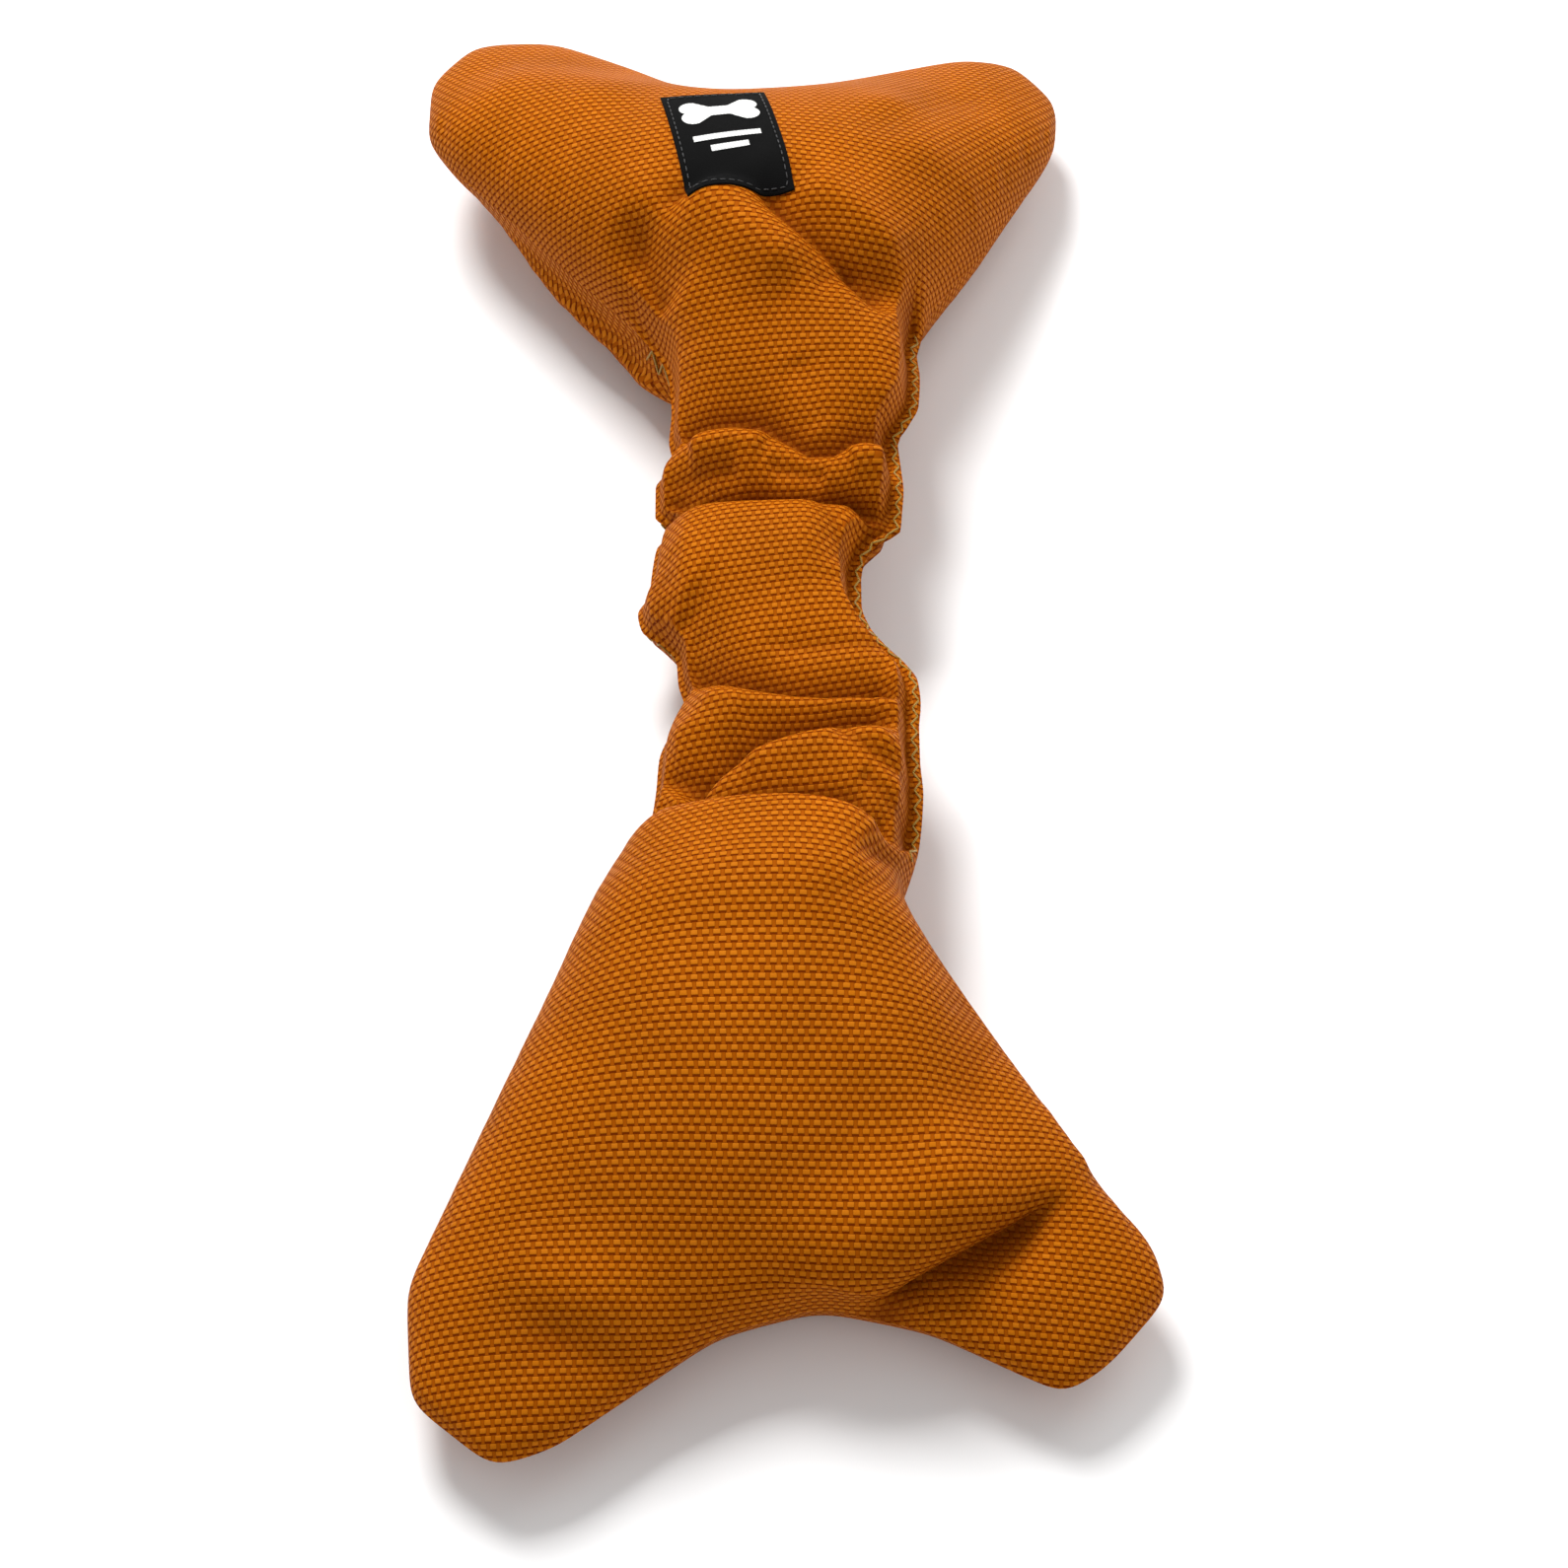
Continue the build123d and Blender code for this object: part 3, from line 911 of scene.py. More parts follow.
@dataclass
class CoverShape:
    """The whole cover: its outline, how far it is stuffed, its folds and its flat cloth.

    Rows run from the lower head's end edge to the upper head's; columns from the left side seam
    to the right one. All sizes are in mm. The flange is the sewn edge that lies flat beside the
    neck, and `pressed` is the height under which the back is squeezed on the floor.
    """

    columns: int = 169
    head_rows: int = 104
    neck_step: float = 0.85
    lower_root: float = -58.0
    upper_root: float = 76.0
    flange: float = 2.4
    flange_left: float = 0.4
    flange_height: float = 1.0
    bulge: float = 9.0
    fold_limit: float = 0.78
    fold_rest: float = 0.55
    front_least: float = 0.6
    floor_gap: float = 0.25
    pressed: float = 3.0
    # painted shade in hollows: the depth at which it is full, and its greatest share
    hollow_shade_depth: float = 2.4
    hollow_shade_share: float = 0.9
    x: np.ndarray = field(init=False, repr=False)
    y: np.ndarray = field(init=False, repr=False)
    stuffing: np.ndarray = field(init=False, repr=False)
    points: dict[Side, np.ndarray] = field(init=False, repr=False, default_factory=dict)
    normals: dict[Side, np.ndarray] = field(init=False, repr=False, default_factory=dict)
    cloth: dict[Side, np.ndarray] = field(init=False, repr=False, default_factory=dict)
    # painted shade of creases and hollows, 0 to 1, per side
    fold: dict[Side, np.ndarray] = field(init=False, repr=False, default_factory=dict)

    def neck_edges(self, y: np.ndarray) -> tuple[np.ndarray, np.ndarray]:
        """x of the neck's left and right seam at each y: the elastic pulls them in at the creases."""
        left = soft_interp(
            y,
            [-66, -58, -50, -42, -34, -27, -21, -14, -8, -3, 2, 7,
             12, 18, 25, 29, 34, 42, 48, 54, 62, 70, 76, 84],
            [-34, -30, -27.5, -26.5, -26, -23.5, -20.5, -22, -22.5, -25.5, -30.5, -31.5,
             -29, -28.5, -27.5, -24, -28, -28, -24, -25, -24.5, -25, -27, -34.5],
        )
        right = soft_interp(
            y,
            [-66, -58, -50, -42, -34, -27, -21, -16, -10, -4, 2, 8,
             14, 18, 21, 26, 33, 40, 47, 52, 58, 68, 76, 84],
            [30, 31, 31.5, 31, 31, 31.5, 31, 28.5, 24, 20.5, 19, 19,
             20, 23, 28, 28.5, 29, 28.5, 28, 30.5, 33, 33.5, 33, 35],
        )
        return left, right

    def head_outline(self, lower: bool) -> tuple[np.ndarray, np.ndarray, np.ndarray]:
        """Left side, end edge and right side of a head, rounded.

        Args:
            lower: The lower head, or else the upper one.

        Returns:
            Three lines of points: left side from the root, end edge from left to right, right side.
        """
        if lower:
            root = self.lower_root
            sides = [[(-38, -72), (-48.5, -98), (-69, -146), (-75, -160)],
                     [(75, -152), (67, -143), (43.5, -106), (30, -86), (25.5, -75), (30, -67)]]
            end = [(-75, -160), (-73, -184), (-56, -198), (-44, -194), (-12, -170), (8, -164.5), (30, -170),
                   (56, -184), (65, -178), (78, -163), (75, -152)]
        else:
            root = self.upper_root
            sides = [[(-34, 86), (-51, 104), (-79, 137), (-85.5, 148)],
                     [(69, 152), (66, 144), (49, 111), (36, 90)]]
            end = [(-85.5, 148), (-86, 168), (-76, 183), (-55, 184), (-32, 172), (-21, 164), (-13, 159),
                   (-4, 163), (14, 169), (46, 182), (60, 181), (70, 167), (69, 152)]
        left, right = self.neck_edges(np.array([root]))
        corner_line = [(left[0], root)] + sides[0] + end[1:-1] + sides[1] + [(right[0], root)]
        dense = resample(np.asarray(corner_line, float), 1401)
        round_line = blur_line(dense, 11.0)
        a = int(np.argmin(np.hypot(*(round_line - np.asarray(end[0])).T)))
        b = int(np.argmin(np.hypot(*(round_line - np.asarray(end[-1])).T)))
        return round_line[: a + 1], round_line[a : b + 1], round_line[b:][::-1]

    def spacing(self) -> np.ndarray:
        """Share of the width at each column, a little denser towards both seams."""
        across = np.linspace(0.0, 1.0, self.columns)
        return 0.55 * across + 0.45 * (0.5 - 0.5 * np.cos(np.pi * across))

    def head_plan(self, lower: bool) -> np.ndarray:
        """Plan of a head as a grid: rows blend its root into its end edge, columns its two sides.

        A point is the sum of both blends minus the blend of the four corners (a Coons patch).

        Args:
            lower: The lower head, or else the upper one.

        Returns:
            (rows, columns, 2) grid, root row first.
        """
        left, end, right = self.head_outline(lower)
        spaced = self.spacing()
        left, right = resample(left, self.head_rows), resample(right, self.head_rows)
        dense = resample(end, 600)
        run = np.linspace(0, 1, len(dense))
        end = np.stack([np.interp(spaced, run, dense[:, k]) for k in range(2)], axis=1)
        root = left[0] + spaced[:, None] * (right[0] - left[0])
        v = np.linspace(0.0, 1.0, self.head_rows)[:, None, None]
        u = spaced[None, :, None]
        lofted = (1 - v) * root[None] + v * end[None]
        swept = (1 - u) * left[:, None] + u * right[:, None]
        corners = (1 - v) * ((1 - u) * left[0] + u * right[0]) + v * ((1 - u) * end[0] + u * end[-1])
        return lofted + swept - corners

    def lay_out(self) -> None:
        """Joins both heads' plans and the neck's into one grid, and stuffs it."""
        count = int(round((self.upper_root - self.lower_root) / self.neck_step))
        y_neck = np.linspace(self.lower_root, self.upper_root, count + 1)
        left, right = self.neck_edges(y_neck)
        nx = left[:, None] + self.spacing()[None] * (right - left)[:, None]
        ny = np.repeat(y_neck[:, None], self.columns, axis=1)
        low = self.head_plan(True)[::-1]
        high = self.head_plan(False)
        self.x = np.concatenate([low[:-1, :, 0], nx, high[1:, :, 0]])
        self.y = np.concatenate([low[:-1, :, 1], ny, high[1:, :, 1]])
        self.stuffing = np.sqrt(2.0 * np.maximum(solve_membrane(self.x, self.y), 0.0))

    def seam_height(self) -> np.ndarray:
        """Height of the side seams' surface: level on average, tilted one way along the neck.

        It drops towards both heads' ends, the right seam is turned up along the neck, and the
        upper head's left lobe is lifted.
        """
        y = self.y
        base = soft_interp(y, [-198, -170, -120, -70, -40, 30, 75, 120, 165, 190],
                           [13.0, 13.5, 18.0, 23.0, 23.5, 24.0, 25.5, 24.0, 19.0, 17.5])
        tilt = soft_interp(y, [-190, -120, -75, -40, 20, 60, 80, 110, 190],
                           [-0.01, 0.0, 0.08, 0.17, 0.17, 0.10, -0.02, -0.07, -0.07])
        return base + tilt * self.x

    def crown(self, side: Side) -> np.ndarray:
        """Share of the free stuffed height that each side of the cover takes along the bumper."""
        y = self.y
        if side is Side.FRONT:
            return soft_interp(
                y,
                [-198, -165, -130, -100, -80, -68, -60, -40, 30, 66, 84, 100, 122, 146, 165, 190],
                [0.42, 0.56, 0.70, 0.87, 1.06, 1.06, 0.94, 0.84,
                 0.84, 0.90, 0.96, 0.91, 0.81, 0.70, 0.54, 0.44],
            )
        return soft_interp(y, [-198, -165, -130, -95, -60, -40, 30, 60, 95, 130, 165, 190],
                           [0.36, 0.42, 0.58, 0.74, 0.80, 0.74, 0.74, 0.80, 0.74, 0.58, 0.42, 0.36])

    def creases(self, side: Side) -> list[Crease]:
        """The folds of one side of the cover."""
        if side is Side.BACK:
            return [
                Crease(((-30, -52), (0, -56), (30, -53)), 3.0, 4.0, 6.0, painted_shade=0.5),
                Crease(((-28, -34), (-4, -31), (30, -36)), 3.2, 4.0, 4.0, painted_shade=0.5),
                Crease(((-24, -14), (6, -17), (28, -12)), 3.4, 4.5, 3.5, painted_shade=0.5),
                Crease(((-31, 7), (-2, 3), (20, 6)), 3.0, 4.0, 5.0, painted_shade=0.5),
                Crease(((-28, 24), (2, 27), (27, 24)), 3.4, 3.5, 5.0, painted_shade=0.5),
                Crease(((-25, 47), (4, 44), (29, 49)), 3.2, 4.5, 4.0, painted_shade=0.5),
                Crease(((-28, 68), (2, 72), (32, 66)), 3.0, 6.0, 4.0, painted_shade=0.5),
                Crease(((-50, -120), (-20, -100), (-6, -80)), 1.2, 9.0, 9.0),
                Crease(((48, -132), (22, -104), (10, -82)), 1.2, 9.0, 9.0),
                Crease(((52, 132), (22, 106), (10, 88)), 1.2, 9.0, 9.0),
                Crease(((-58, 136), (-24, 108), (-8, 90)), 1.2, 9.0, 9.0),
            ]
        return [
            # upper head: tongue of cloth pushed up over the label's lower end
            Crease(((-36, 103), (-30, 89), (-25, 76)), 5.0, 5.5, 5.5, painted_shade=0.4, fade=(0.35, 0.2)),
            Crease(((-8, 107), (-2, 99), (6, 91), (16, 83), (29, 74)),
                   7.0, 9.0, 4.5, painted_shade=0.7, fade=(0.3, 0.12), over=-0.8),
            Crease(((-20, 103), (-13, 96), (-4, 87), (7, 76)),
                   -3.4, 7.0, 8.0, power=1.8, fade=(0.2, 0.25)),
            Crease(((-28, 97), (-20, 102), (-11, 105), (-2, 103)),
                   2.6, 6.0, 2.6, painted_shade=0.4, fade=(0.25, 0.25), over=-0.8),
            Crease(((4, 104), (18, 98), (32, 88)), -2.4, 7.0, 6.0, power=1.8, fade=(0.25, 0.2)),
            Crease(((30, 86), (20, 80), (8, 76)), 2.0, 3.0, 3.5, painted_shade=0.4),
            # neck, from the upper head down
            Crease(((-27, 50), (-19, 48), (-10, 46.5), (-1, 44), (4, 39), (9, 35), (13, 35.5), (19, 40),
                    (30, 44)), 7.4, 8.0, 3.0, painted_shade=1.0, fade=(0.05, 0.12), over=-1.2),
            Crease(((5, 60), (8, 50), (10, 42)), 1.0, 5.0, 5.0),
            Crease(((-21, 41), (-10, 40), (-2, 38)), -2.6, 4.0, 4.0, power=1.6),
            Crease(((17, 33), (23, 34), (29, 36)), -2.0, 4.0, 4.0, power=1.6),
            Crease(((-3, 33), (5, 30.5), (12, 29)), 2.2, 2.4, 2.4, painted_shade=0.4),
            Crease(((-28, 38), (-19, 35), (-8, 33)), 2.2, 2.4, 2.4, painted_shade=0.5),
            Crease(((-29, 31), (-20, 28.5), (-10, 26), (2, 24), (18, 22.5), (25, 20.5), (31, 16)),
                   9.4, 5.5, 3.0, painted_shade=1.0, fade=(0.02, 0.04), over=-2.2),
            Crease(((-26, 9), (-6, 12), (14, 10)), -2.6, 12.0, 12.0, power=2.2, fade=(0.2, 0.2)),
            Crease(((8, 22), (14, 14), (16, 4)), 1.6, 3.0, 3.0, painted_shade=0.3),
            Crease(((-29, -10), (-22, -16), (-14, -22), (-3, -27), (8, -30), (30, -30)),
                   9.0, 10.0, 2.8, painted_shade=1.0, fade=(0.04, 0.1), over=-1.4),
            Crease(((-6, -14), (8, -17), (28, -15)), 2.0, 6.0, 3.0, painted_shade=0.3, fade=(0.3, 0.1)),
            Crease(((-20, -28), (-8, -33), (6, -35.5), (30, -35)), -2.0, 3.4, 3.4, power=1.6),
            Crease(((-22, -54), (-12, -47.5), (-3, -43), (7, -41), (29, -40)),
                   7.6, 6.5, 2.6, painted_shade=1.0, fade=(0.08, 0.15), over=-1.2),
            Crease(((-24, -38), (-15, -37), (-6, -36)), -1.6, 5.0, 5.0, power=1.7),
            Crease(((-8, -51), (6, -47), (28, -46)), -2.2, 4.5, 4.5, power=1.7),
            Crease(((12, -44), (21, -50), (30, -54)), 2.2, 2.4, 2.4, painted_shade=0.5),
            Crease(((-28, -45), (-20, -47), (-13, -51)), 2.4, 3.0, 3.0, painted_shade=0.4, fade=(0.06, 0.3)),
            Crease(((-32, -58), (-14, -59.5), (-2, -60.5), (10, -62), (18, -65), (27, -71)),
                   9.5, 5.5, 2.4, painted_shade=1.0, fade=(0.03, 0.1), over=-3.4),
            Crease(((18, -54), (26, -60), (31, -66)), 1.8, 1.8, 1.8, painted_shade=0.6),
            Crease(((31, -70), (22, -76), (14, -80)), 2.6, 3.2, 2.4, painted_shade=0.7, fade=(0.02, 0.5)),
            Crease(((30, -76), (18, -88), (4, -94)), 1.2, 3.6, 3.0, painted_shade=0.2, fade=(0.05, 0.6)),
            # lower head
            Crease(((34, -84), (42, -108), (41, -128), (36, -144)),
                   2.4, 10.0, 9.0, power=1.9, painted_shade=0.25, fade=(0.3, 0.3)),
            Crease(((48, -104), (57, -122), (66, -140)), -1.8, 7.0, 7.0, power=1.9),
            Crease(((63, -145), (51, -151), (39, -158), (25, -165), (12, -171), (4, -178)),
                   9.5, 9.0, 3.6, power=1.1, painted_shade=1.0, fade=(0.3, 0.0), over=-4.2, reach=4.5),
            Crease(((48, -138), (32, -148), (14, -157), (-6, -162)),
                   -4.0, 9.0, 9.0, power=2.0, fade=(0.35, 0.25)),
            Crease(((-52, -170), (-38, -178), (-22, -181)), 1.8, 5.0, 7.0, painted_shade=0.2, fade=(0.35, 0.1)),
            Crease(((-62, -160), (-40, -168), (-20, -170)), -1.8, 8.0, 7.0, power=2.0, fade=(0.3, 0.3)),
            # upper head lobes
            Crease(((-76, 160), (-52, 150), (-34, 132)), -1.6, 12.0, 12.0, power=2.0, fade=(0.3, 0.3)),
            Crease(((26, 150), (34, 128), (40, 112)), -1.6, 9.0, 9.0, power=2.0, fade=(0.3, 0.3)),
            Crease(((58, 160), (40, 146), (22, 120)), 1.8, 9.0, 7.0, power=1.8, fade=(0.3, 0.3)),
        ]

    def level_off(self, rise: np.ndarray) -> np.ndarray:
        """Flattens the tops of the neck's rows, as the elastic keeps the cloth slack across them.

        Height h becomes h / (1 + (h / top)^4)^(1/4), where top is a share of the row's greatest height.
        """
        share = soft_interp(self.y, [-120, -98, -76, -60, 52, 72, 92, 110],
                            [2.2, 1.3, 0.92, 0.80, 0.80, 0.95, 1.5, 2.2])
        top = np.maximum(share * rise.max(axis=1, keepdims=True), 1e-3)
        return rise / (1.0 + (rise / top) ** 4) ** 0.25

    def edge_pucker(self) -> np.ndarray:
        """Small ripples where the stitches of the side seams draw the cloth in, fading inwards."""
        run = np.cumsum(np.concatenate([[0.0], np.hypot(np.diff(self.x[:, 0]), np.diff(self.y[:, 0]))]))
        wave = 0.14 * np.sin(2 * np.pi * run / 11.0) + 0.10 * np.sin(2 * np.pi * run / 6.1 + 1.1)
        inwards = self.border_distance(1)
        return wave[:, None] * np.exp(-((inwards - 5.0) ** 2) / 18.0)

    def border_distance(self, axis: int) -> np.ndarray:
        """Distance from the nearer border, along a column (axis 0) or along a row (axis 1)."""
        step = np.hypot(np.diff(self.x, axis=axis), np.diff(self.y, axis=axis))
        run = np.insert(np.cumsum(step, axis=axis), 0, 0.0, axis=axis)
        return np.minimum(run, np.take(run, [-1], axis=axis) - run)

    def rise(self, side: Side, edge: np.ndarray) -> np.ndarray:
        """Height of one side above the seam surface, before it is folded.

        It is the stuffed height times the crown share. Along the neck the sewn edge stays flat.

        Args:
            side: Front or back.
            edge: Distance from the nearer side seam.

        Returns:
            The grid of heights.
        """
        neck = smooth_step((self.y + 72.0) / 10.0) * smooth_step((92.0 - self.y) / 10.0)
        right = np.arange(self.columns)[None, :] > self.columns // 2
        body = smooth_step((edge - np.where(right, self.flange, self.flange_left)) / 2.2)
        rise = self.stuffing * self.crown(side)
        if side is Side.FRONT:
            rise = self.level_off(rise)
        flat = self.flange_height * smooth_step(edge / 1.2)
        return (1.0 - neck) * rise + neck * np.maximum(rise * body, np.minimum(flat, rise))

    def back_bulge(self, edge: np.ndarray) -> np.ndarray:
        """How far the back bulges out beyond the seam on the upper head's left edge."""
        reach = np.exp(-(((edge - 6.5) / 5.5) ** 2)) * smooth_step(edge / 4.0)
        where = smooth_step((self.y - 70.0) / 12.0) * smooth_step((138.0 - self.y) / 40.0)
        left = np.arange(self.columns)[None, :] < self.columns // 2
        return self.bulge * reach * where * left

    def folds(self, side: Side) -> tuple[np.ndarray, np.ndarray, np.ndarray]:
        """All folds of one side together: height, painted shade, and sideways shift (x and y last)."""
        lift, painted_shade = np.zeros(self.x.shape), np.zeros(self.x.shape)
        shift = np.zeros(self.x.shape + (2,))
        for crease in self.creases(side):
            height, shade, push = crease.shape(self.x, self.y)
            lift += height
            painted_shade = np.maximum(painted_shade, shade)
            shift += push
        return lift, painted_shade, shift

    def press_down(self, z: np.ndarray, seam: np.ndarray) -> np.ndarray:
        """Presses the back flat on the floor, and keeps it below the seam surface.

        Heights under `pressed` are squeezed towards the floor, by an exponential.

        Args:
            z: Heights of the back.
            seam: Heights of the seam surface.

        Returns:
            The pressed heights.
        """
        low = z - self.floor_gap
        squeezed = self.pressed * np.exp(np.minimum(low - self.pressed, 0.0) / self.pressed)
        return np.minimum(self.floor_gap + np.where(low > self.pressed, low, squeezed), seam)

    def raise_side(self, side: Side) -> None:
        """Lifts one side of the cover out of its plan, folds it, paints shade in its folds and lays its cloth
        out flat.

        Folds move the cloth along its own normal, which leans upright near the side seams.

        Args:
            side: Front or back.
        """
        seam = self.seam_height()
        edge = self.border_distance(1)
        rise = self.rise(side, edge)
        p = np.stack([self.x, self.y, seam + side.value * rise], axis=2)
        if side is Side.BACK:
            p[..., 0] -= self.back_bulge(edge)
        normal = grid_normals(p) * side.value
        lean = smooth_step((edge - 2.0) / 9.0)[..., None]
        normal = lean * normal + (1.0 - lean) * np.array([0.0, 0.0, float(side.value)])
        normal /= np.linalg.norm(normal, axis=2, keepdims=True)
        lift, painted_shade, shift = self.folds(side)
        # folds fade out at the side seams and at both ends, and never cut through the stuffing
        hold = smooth_step(edge / 4.5)
        lift = blur_grid(lift, 1) * hold + self.edge_pucker() * smooth_step(edge / 3.0)
        lift = np.maximum(lift, -np.maximum(self.fold_limit * rise - self.fold_rest, 0.0))
        border = np.minimum(self.border_distance(0) / 4.0, 1.0)
        p = p + normal * (lift * border)[..., None]
        p[..., :2] += shift * (smooth_step(edge / 9.0) * border)[..., None]
        if side is Side.BACK:
            p[..., 2] = self.press_down(p[..., 2], seam)
        else:
            p[..., 2] = np.maximum(p[..., 2], self.front_least)
        self.points[side] = p
        # painted shade: hollows, where the cloth lies below its surroundings, are painted darker than crests
        hollow_shade = smooth_step((blur_grid(p[..., 2], 60) - p[..., 2]) * side.value / self.hollow_shade_depth)
        # the painted shade of creases and hollows together
        self.fold[side] = blur_grid(np.maximum(painted_shade, self.hollow_shade_share * hollow_shade) * hold, 1)
        self.normals[side] = grid_normals(p) * side.value
        self.cloth[side] = lay_flat(p, self.normals[side], side.value)

    def build(self) -> None:
        """Works out both sides."""
        self.lay_out()
        for side in Side:
            self.raise_side(side)

    def row_near(self, y: float) -> int:
        """The row whose middle is nearest to y."""
        return int(np.argmin(np.abs(self.y[:, self.columns // 2] - y)))

    def edge_line(self, side: int, rows: slice) -> np.ndarray:
        """Points along the left (0) or right (-1) seam for some rows."""
        return self.points[Side.FRONT][rows, side]


@dataclass(frozen=True)
class Section:
    """A stretch of the cover between two rows, and the bodies that it follows."""

    name: str
    low: float
    high: float
    bodies: tuple[str, ...]
    gather: int = 0

    def attach(self, piece: bpy.types.Object) -> None:
        """Makes a piece ride on its one body; a piece between two bodies only has its transform baked."""
        if len(self.bodies) == 1:
            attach(piece, self.bodies[0])
        else:
            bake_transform(piece)


SECTIONS = (
    Section("lower_head", -FAR, -69.0, ("lower_head",)),
    Section("neck_1", -69.0, -44.0, ("lower_head", "gather_1"), 1),
    Section("neck_2", -44.0, -22.0, ("gather_1", "gather_2"), 2),
    Section("neck_3", -22.0, 0.0, ("gather_2", "gather_3"), 3),
    Section("neck_4", 0.0, 22.0, ("gather_3", "gather_4"), 4),
    Section("neck_5", 22.0, 46.0, ("gather_4", "gather_5"), 5),
    Section("neck_6", 46.0, 82.0, ("gather_5", "upper_head")),
    Section("upper_head", 82.0, FAR, ("upper_head",)),
)


@dataclass
class Cover:
    """The sewn cover: a front and a back skin for each head and each section of the neck."""

    shape: CoverShape
    finishes: Finishes
    fill_from: int = 26
    fill_rows: int = 7
    fill_clearance: float = 1.8
    pieces: dict[str, bpy.types.Object] = field(default_factory=dict)

    def rows_of(self, section: Section) -> slice:
        """The grid rows of a section, both border rows included."""
        low = 0 if section.low == -FAR else self.shape.row_near(section.low)
        high = len(self.shape.x) - 1 if section.high == FAR else self.shape.row_near(section.high)
        return slice(low, high + 1)

    def skin(self, section: Section, side: Side) -> bpy.types.Object:
        """One side of one section as its own mesh, its weave laid out flat in the UV map.

        Args:
            section: Which stretch of the cover.
            side: Front or back.

        Returns:
            The piece.
        """
        rows = self.rows_of(section)
        p = self.shape.points[side][rows]
        faces = grid_faces(p.shape[0], p.shape[1], flip=side is Side.BACK)
        label = "front" if side is Side.FRONT else "back"
        piece = mesh_object(f"{section.name}_{label}_cover", p.reshape(-1, 3), faces)
        set_uv(piece, "cloth", self.shape.cloth[side][rows])
        # painted shade of folds and hollows, for the cover material
        set_value(piece, "fold", self.shape.fold[side][rows])
        set_normals(piece, self.shape.normals[side][rows])
        piece.data.materials.append(self.finishes.cover)
        return piece

    def inner(self, section: Section) -> bpy.types.Object:
        """The stuffing of one section, closed at its ends.

        Its height on each side is the least height of the skin within 3 mm, less the fill's
        clearance, so that it stays under every fold.
        """
        rows = self.rows_of(section)
        shape = self.shape
        pick = np.unique(np.append(np.arange(rows.start, rows.stop - 1, 3), rows.stop - 1))
        if section.low == -FAR:
            pick = pick[pick >= self.fill_rows]
        if section.high == FAR:
            pick = pick[pick < len(shape.x) - self.fill_rows]
        columns = np.arange(self.fill_from, shape.columns - self.fill_from, 3)
        loops = []
        seam = shape.seam_height()
        for side in Side:
            x, y, mid = (grid[np.ix_(pick, columns)] for grid in (shape.x, shape.y, seam))
            under = lowest_over(shape.points[side], side.value, x, y, 3)
            gap = np.maximum(under - side.value * mid - self.fill_clearance, 0.15)
            q = np.stack([x, y, mid + side.value * gap], axis=2)
            loops.append(q if side is Side.FRONT else q[:, ::-1])
        ring = np.concatenate(loops, axis=1)
        n_rows, n_ring = ring.shape[:2]
        k = np.arange(n_ring // 2 - 1)
        first = np.stack([k, n_ring - 1 - k, n_ring - 2 - k, k + 1], axis=1)
        last = (n_rows - 1) * n_ring + np.stack([k, k + 1, n_ring - 2 - k, n_ring - 1 - k], axis=1)
        faces = np.concatenate([tube_faces(n_rows, n_ring), first, last])
        piece = mesh_object(f"{section.name}_fill", ring.reshape(-1, 3), faces)
        piece.data.materials.append(self.finishes.fill)
        return piece

    def build(self) -> None:
        """Makes every cover and stuffing piece and ties each head's pieces to its body."""
        for section in SECTIONS:
            front, back = self.skin(section, Side.FRONT), self.skin(section, Side.BACK)
            fill = self.inner(section)
            for piece in (front, back, fill):
                section.attach(piece)
            if section.gather:
                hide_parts(f"gather_{section.gather}_front")
                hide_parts(f"gather_{section.gather}_back")
                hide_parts(f"gather_{section.gather}_padding")
            elif "head" in section.name:
                head = section.name.split("_")[0]
                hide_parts(f"{head}_front_panel")
                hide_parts(f"{head}_back_panel")
                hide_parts(f"{head}_padding")
            self.pieces[f"{section.name}_front"] = front
            self.pieces[f"{section.name}_back"] = back
            count = len(front.data.vertices) + len(back.data.vertices)
            LOG.info("%s: %d cover points", section.name, count)


def tube_pieces(
    name: str, centres: np.ndarray, directions: np.ndarray, lengths: np.ndarray, radius: float
) -> bpy.types.Object:
    """Many short stitches as one mesh: each is a straight six-sided capsule.

    Ring k of a stitch lies at its centre plus its direction times k's share of the length, and
    its radius shrinks at both ends.

    Args:
        name: Piece name.
        centres: (N, 3) stitch centres, in mm.
        directions: (N, 3) unit directions.
        lengths: (N,) stitch lengths, in mm.
        radius: Thread radius, in mm.

    Returns:
        The piece.
    """
    share = np.array([-0.5, -0.44, -0.25, 0.25, 0.44, 0.5])
    round_off = np.array([0.05, 0.7, 1.0, 1.0, 0.7, 0.05])
    sides = 6
    turn = np.arange(sides) * 2 * np.pi / sides
    up = np.zeros_like(directions)
    flat = np.abs(directions[:, 2]) < 0.9
    up[flat, 2] = 1.0
    up[~flat, 0] = 1.0
    a = np.cross(directions, up)
    a /= np.linalg.norm(a, axis=1, keepdims=True)
    b = np.cross(directions, a)
    ring = np.cos(turn)[:, None, None] * a + np.sin(turn)[:, None, None] * b  # (S, N, 3)
    points = (
        centres[:, None, None]
        + directions[:, None, None] * (share[None, :, None, None] * lengths[:, None, None, None])
        + radius * round_off[None, :, None, None] * ring.transpose(1, 0, 2)[:, None]
    )
    n, m = len(centres), len(share)
    i, j, k = np.meshgrid(np.arange(n), np.arange(m - 1), np.arange(sides), indexing="ij")
    base = i * m * sides
    q0 = (base + j * sides + k).ravel()
    q1 = (base + j * sides + (k + 1) % sides).ravel()
    faces = np.stack([q0, q1, q1 + sides, q0 + sides], axis=1)
    return mesh_object(name, points.reshape(-1, 3), faces[:, ::-1])


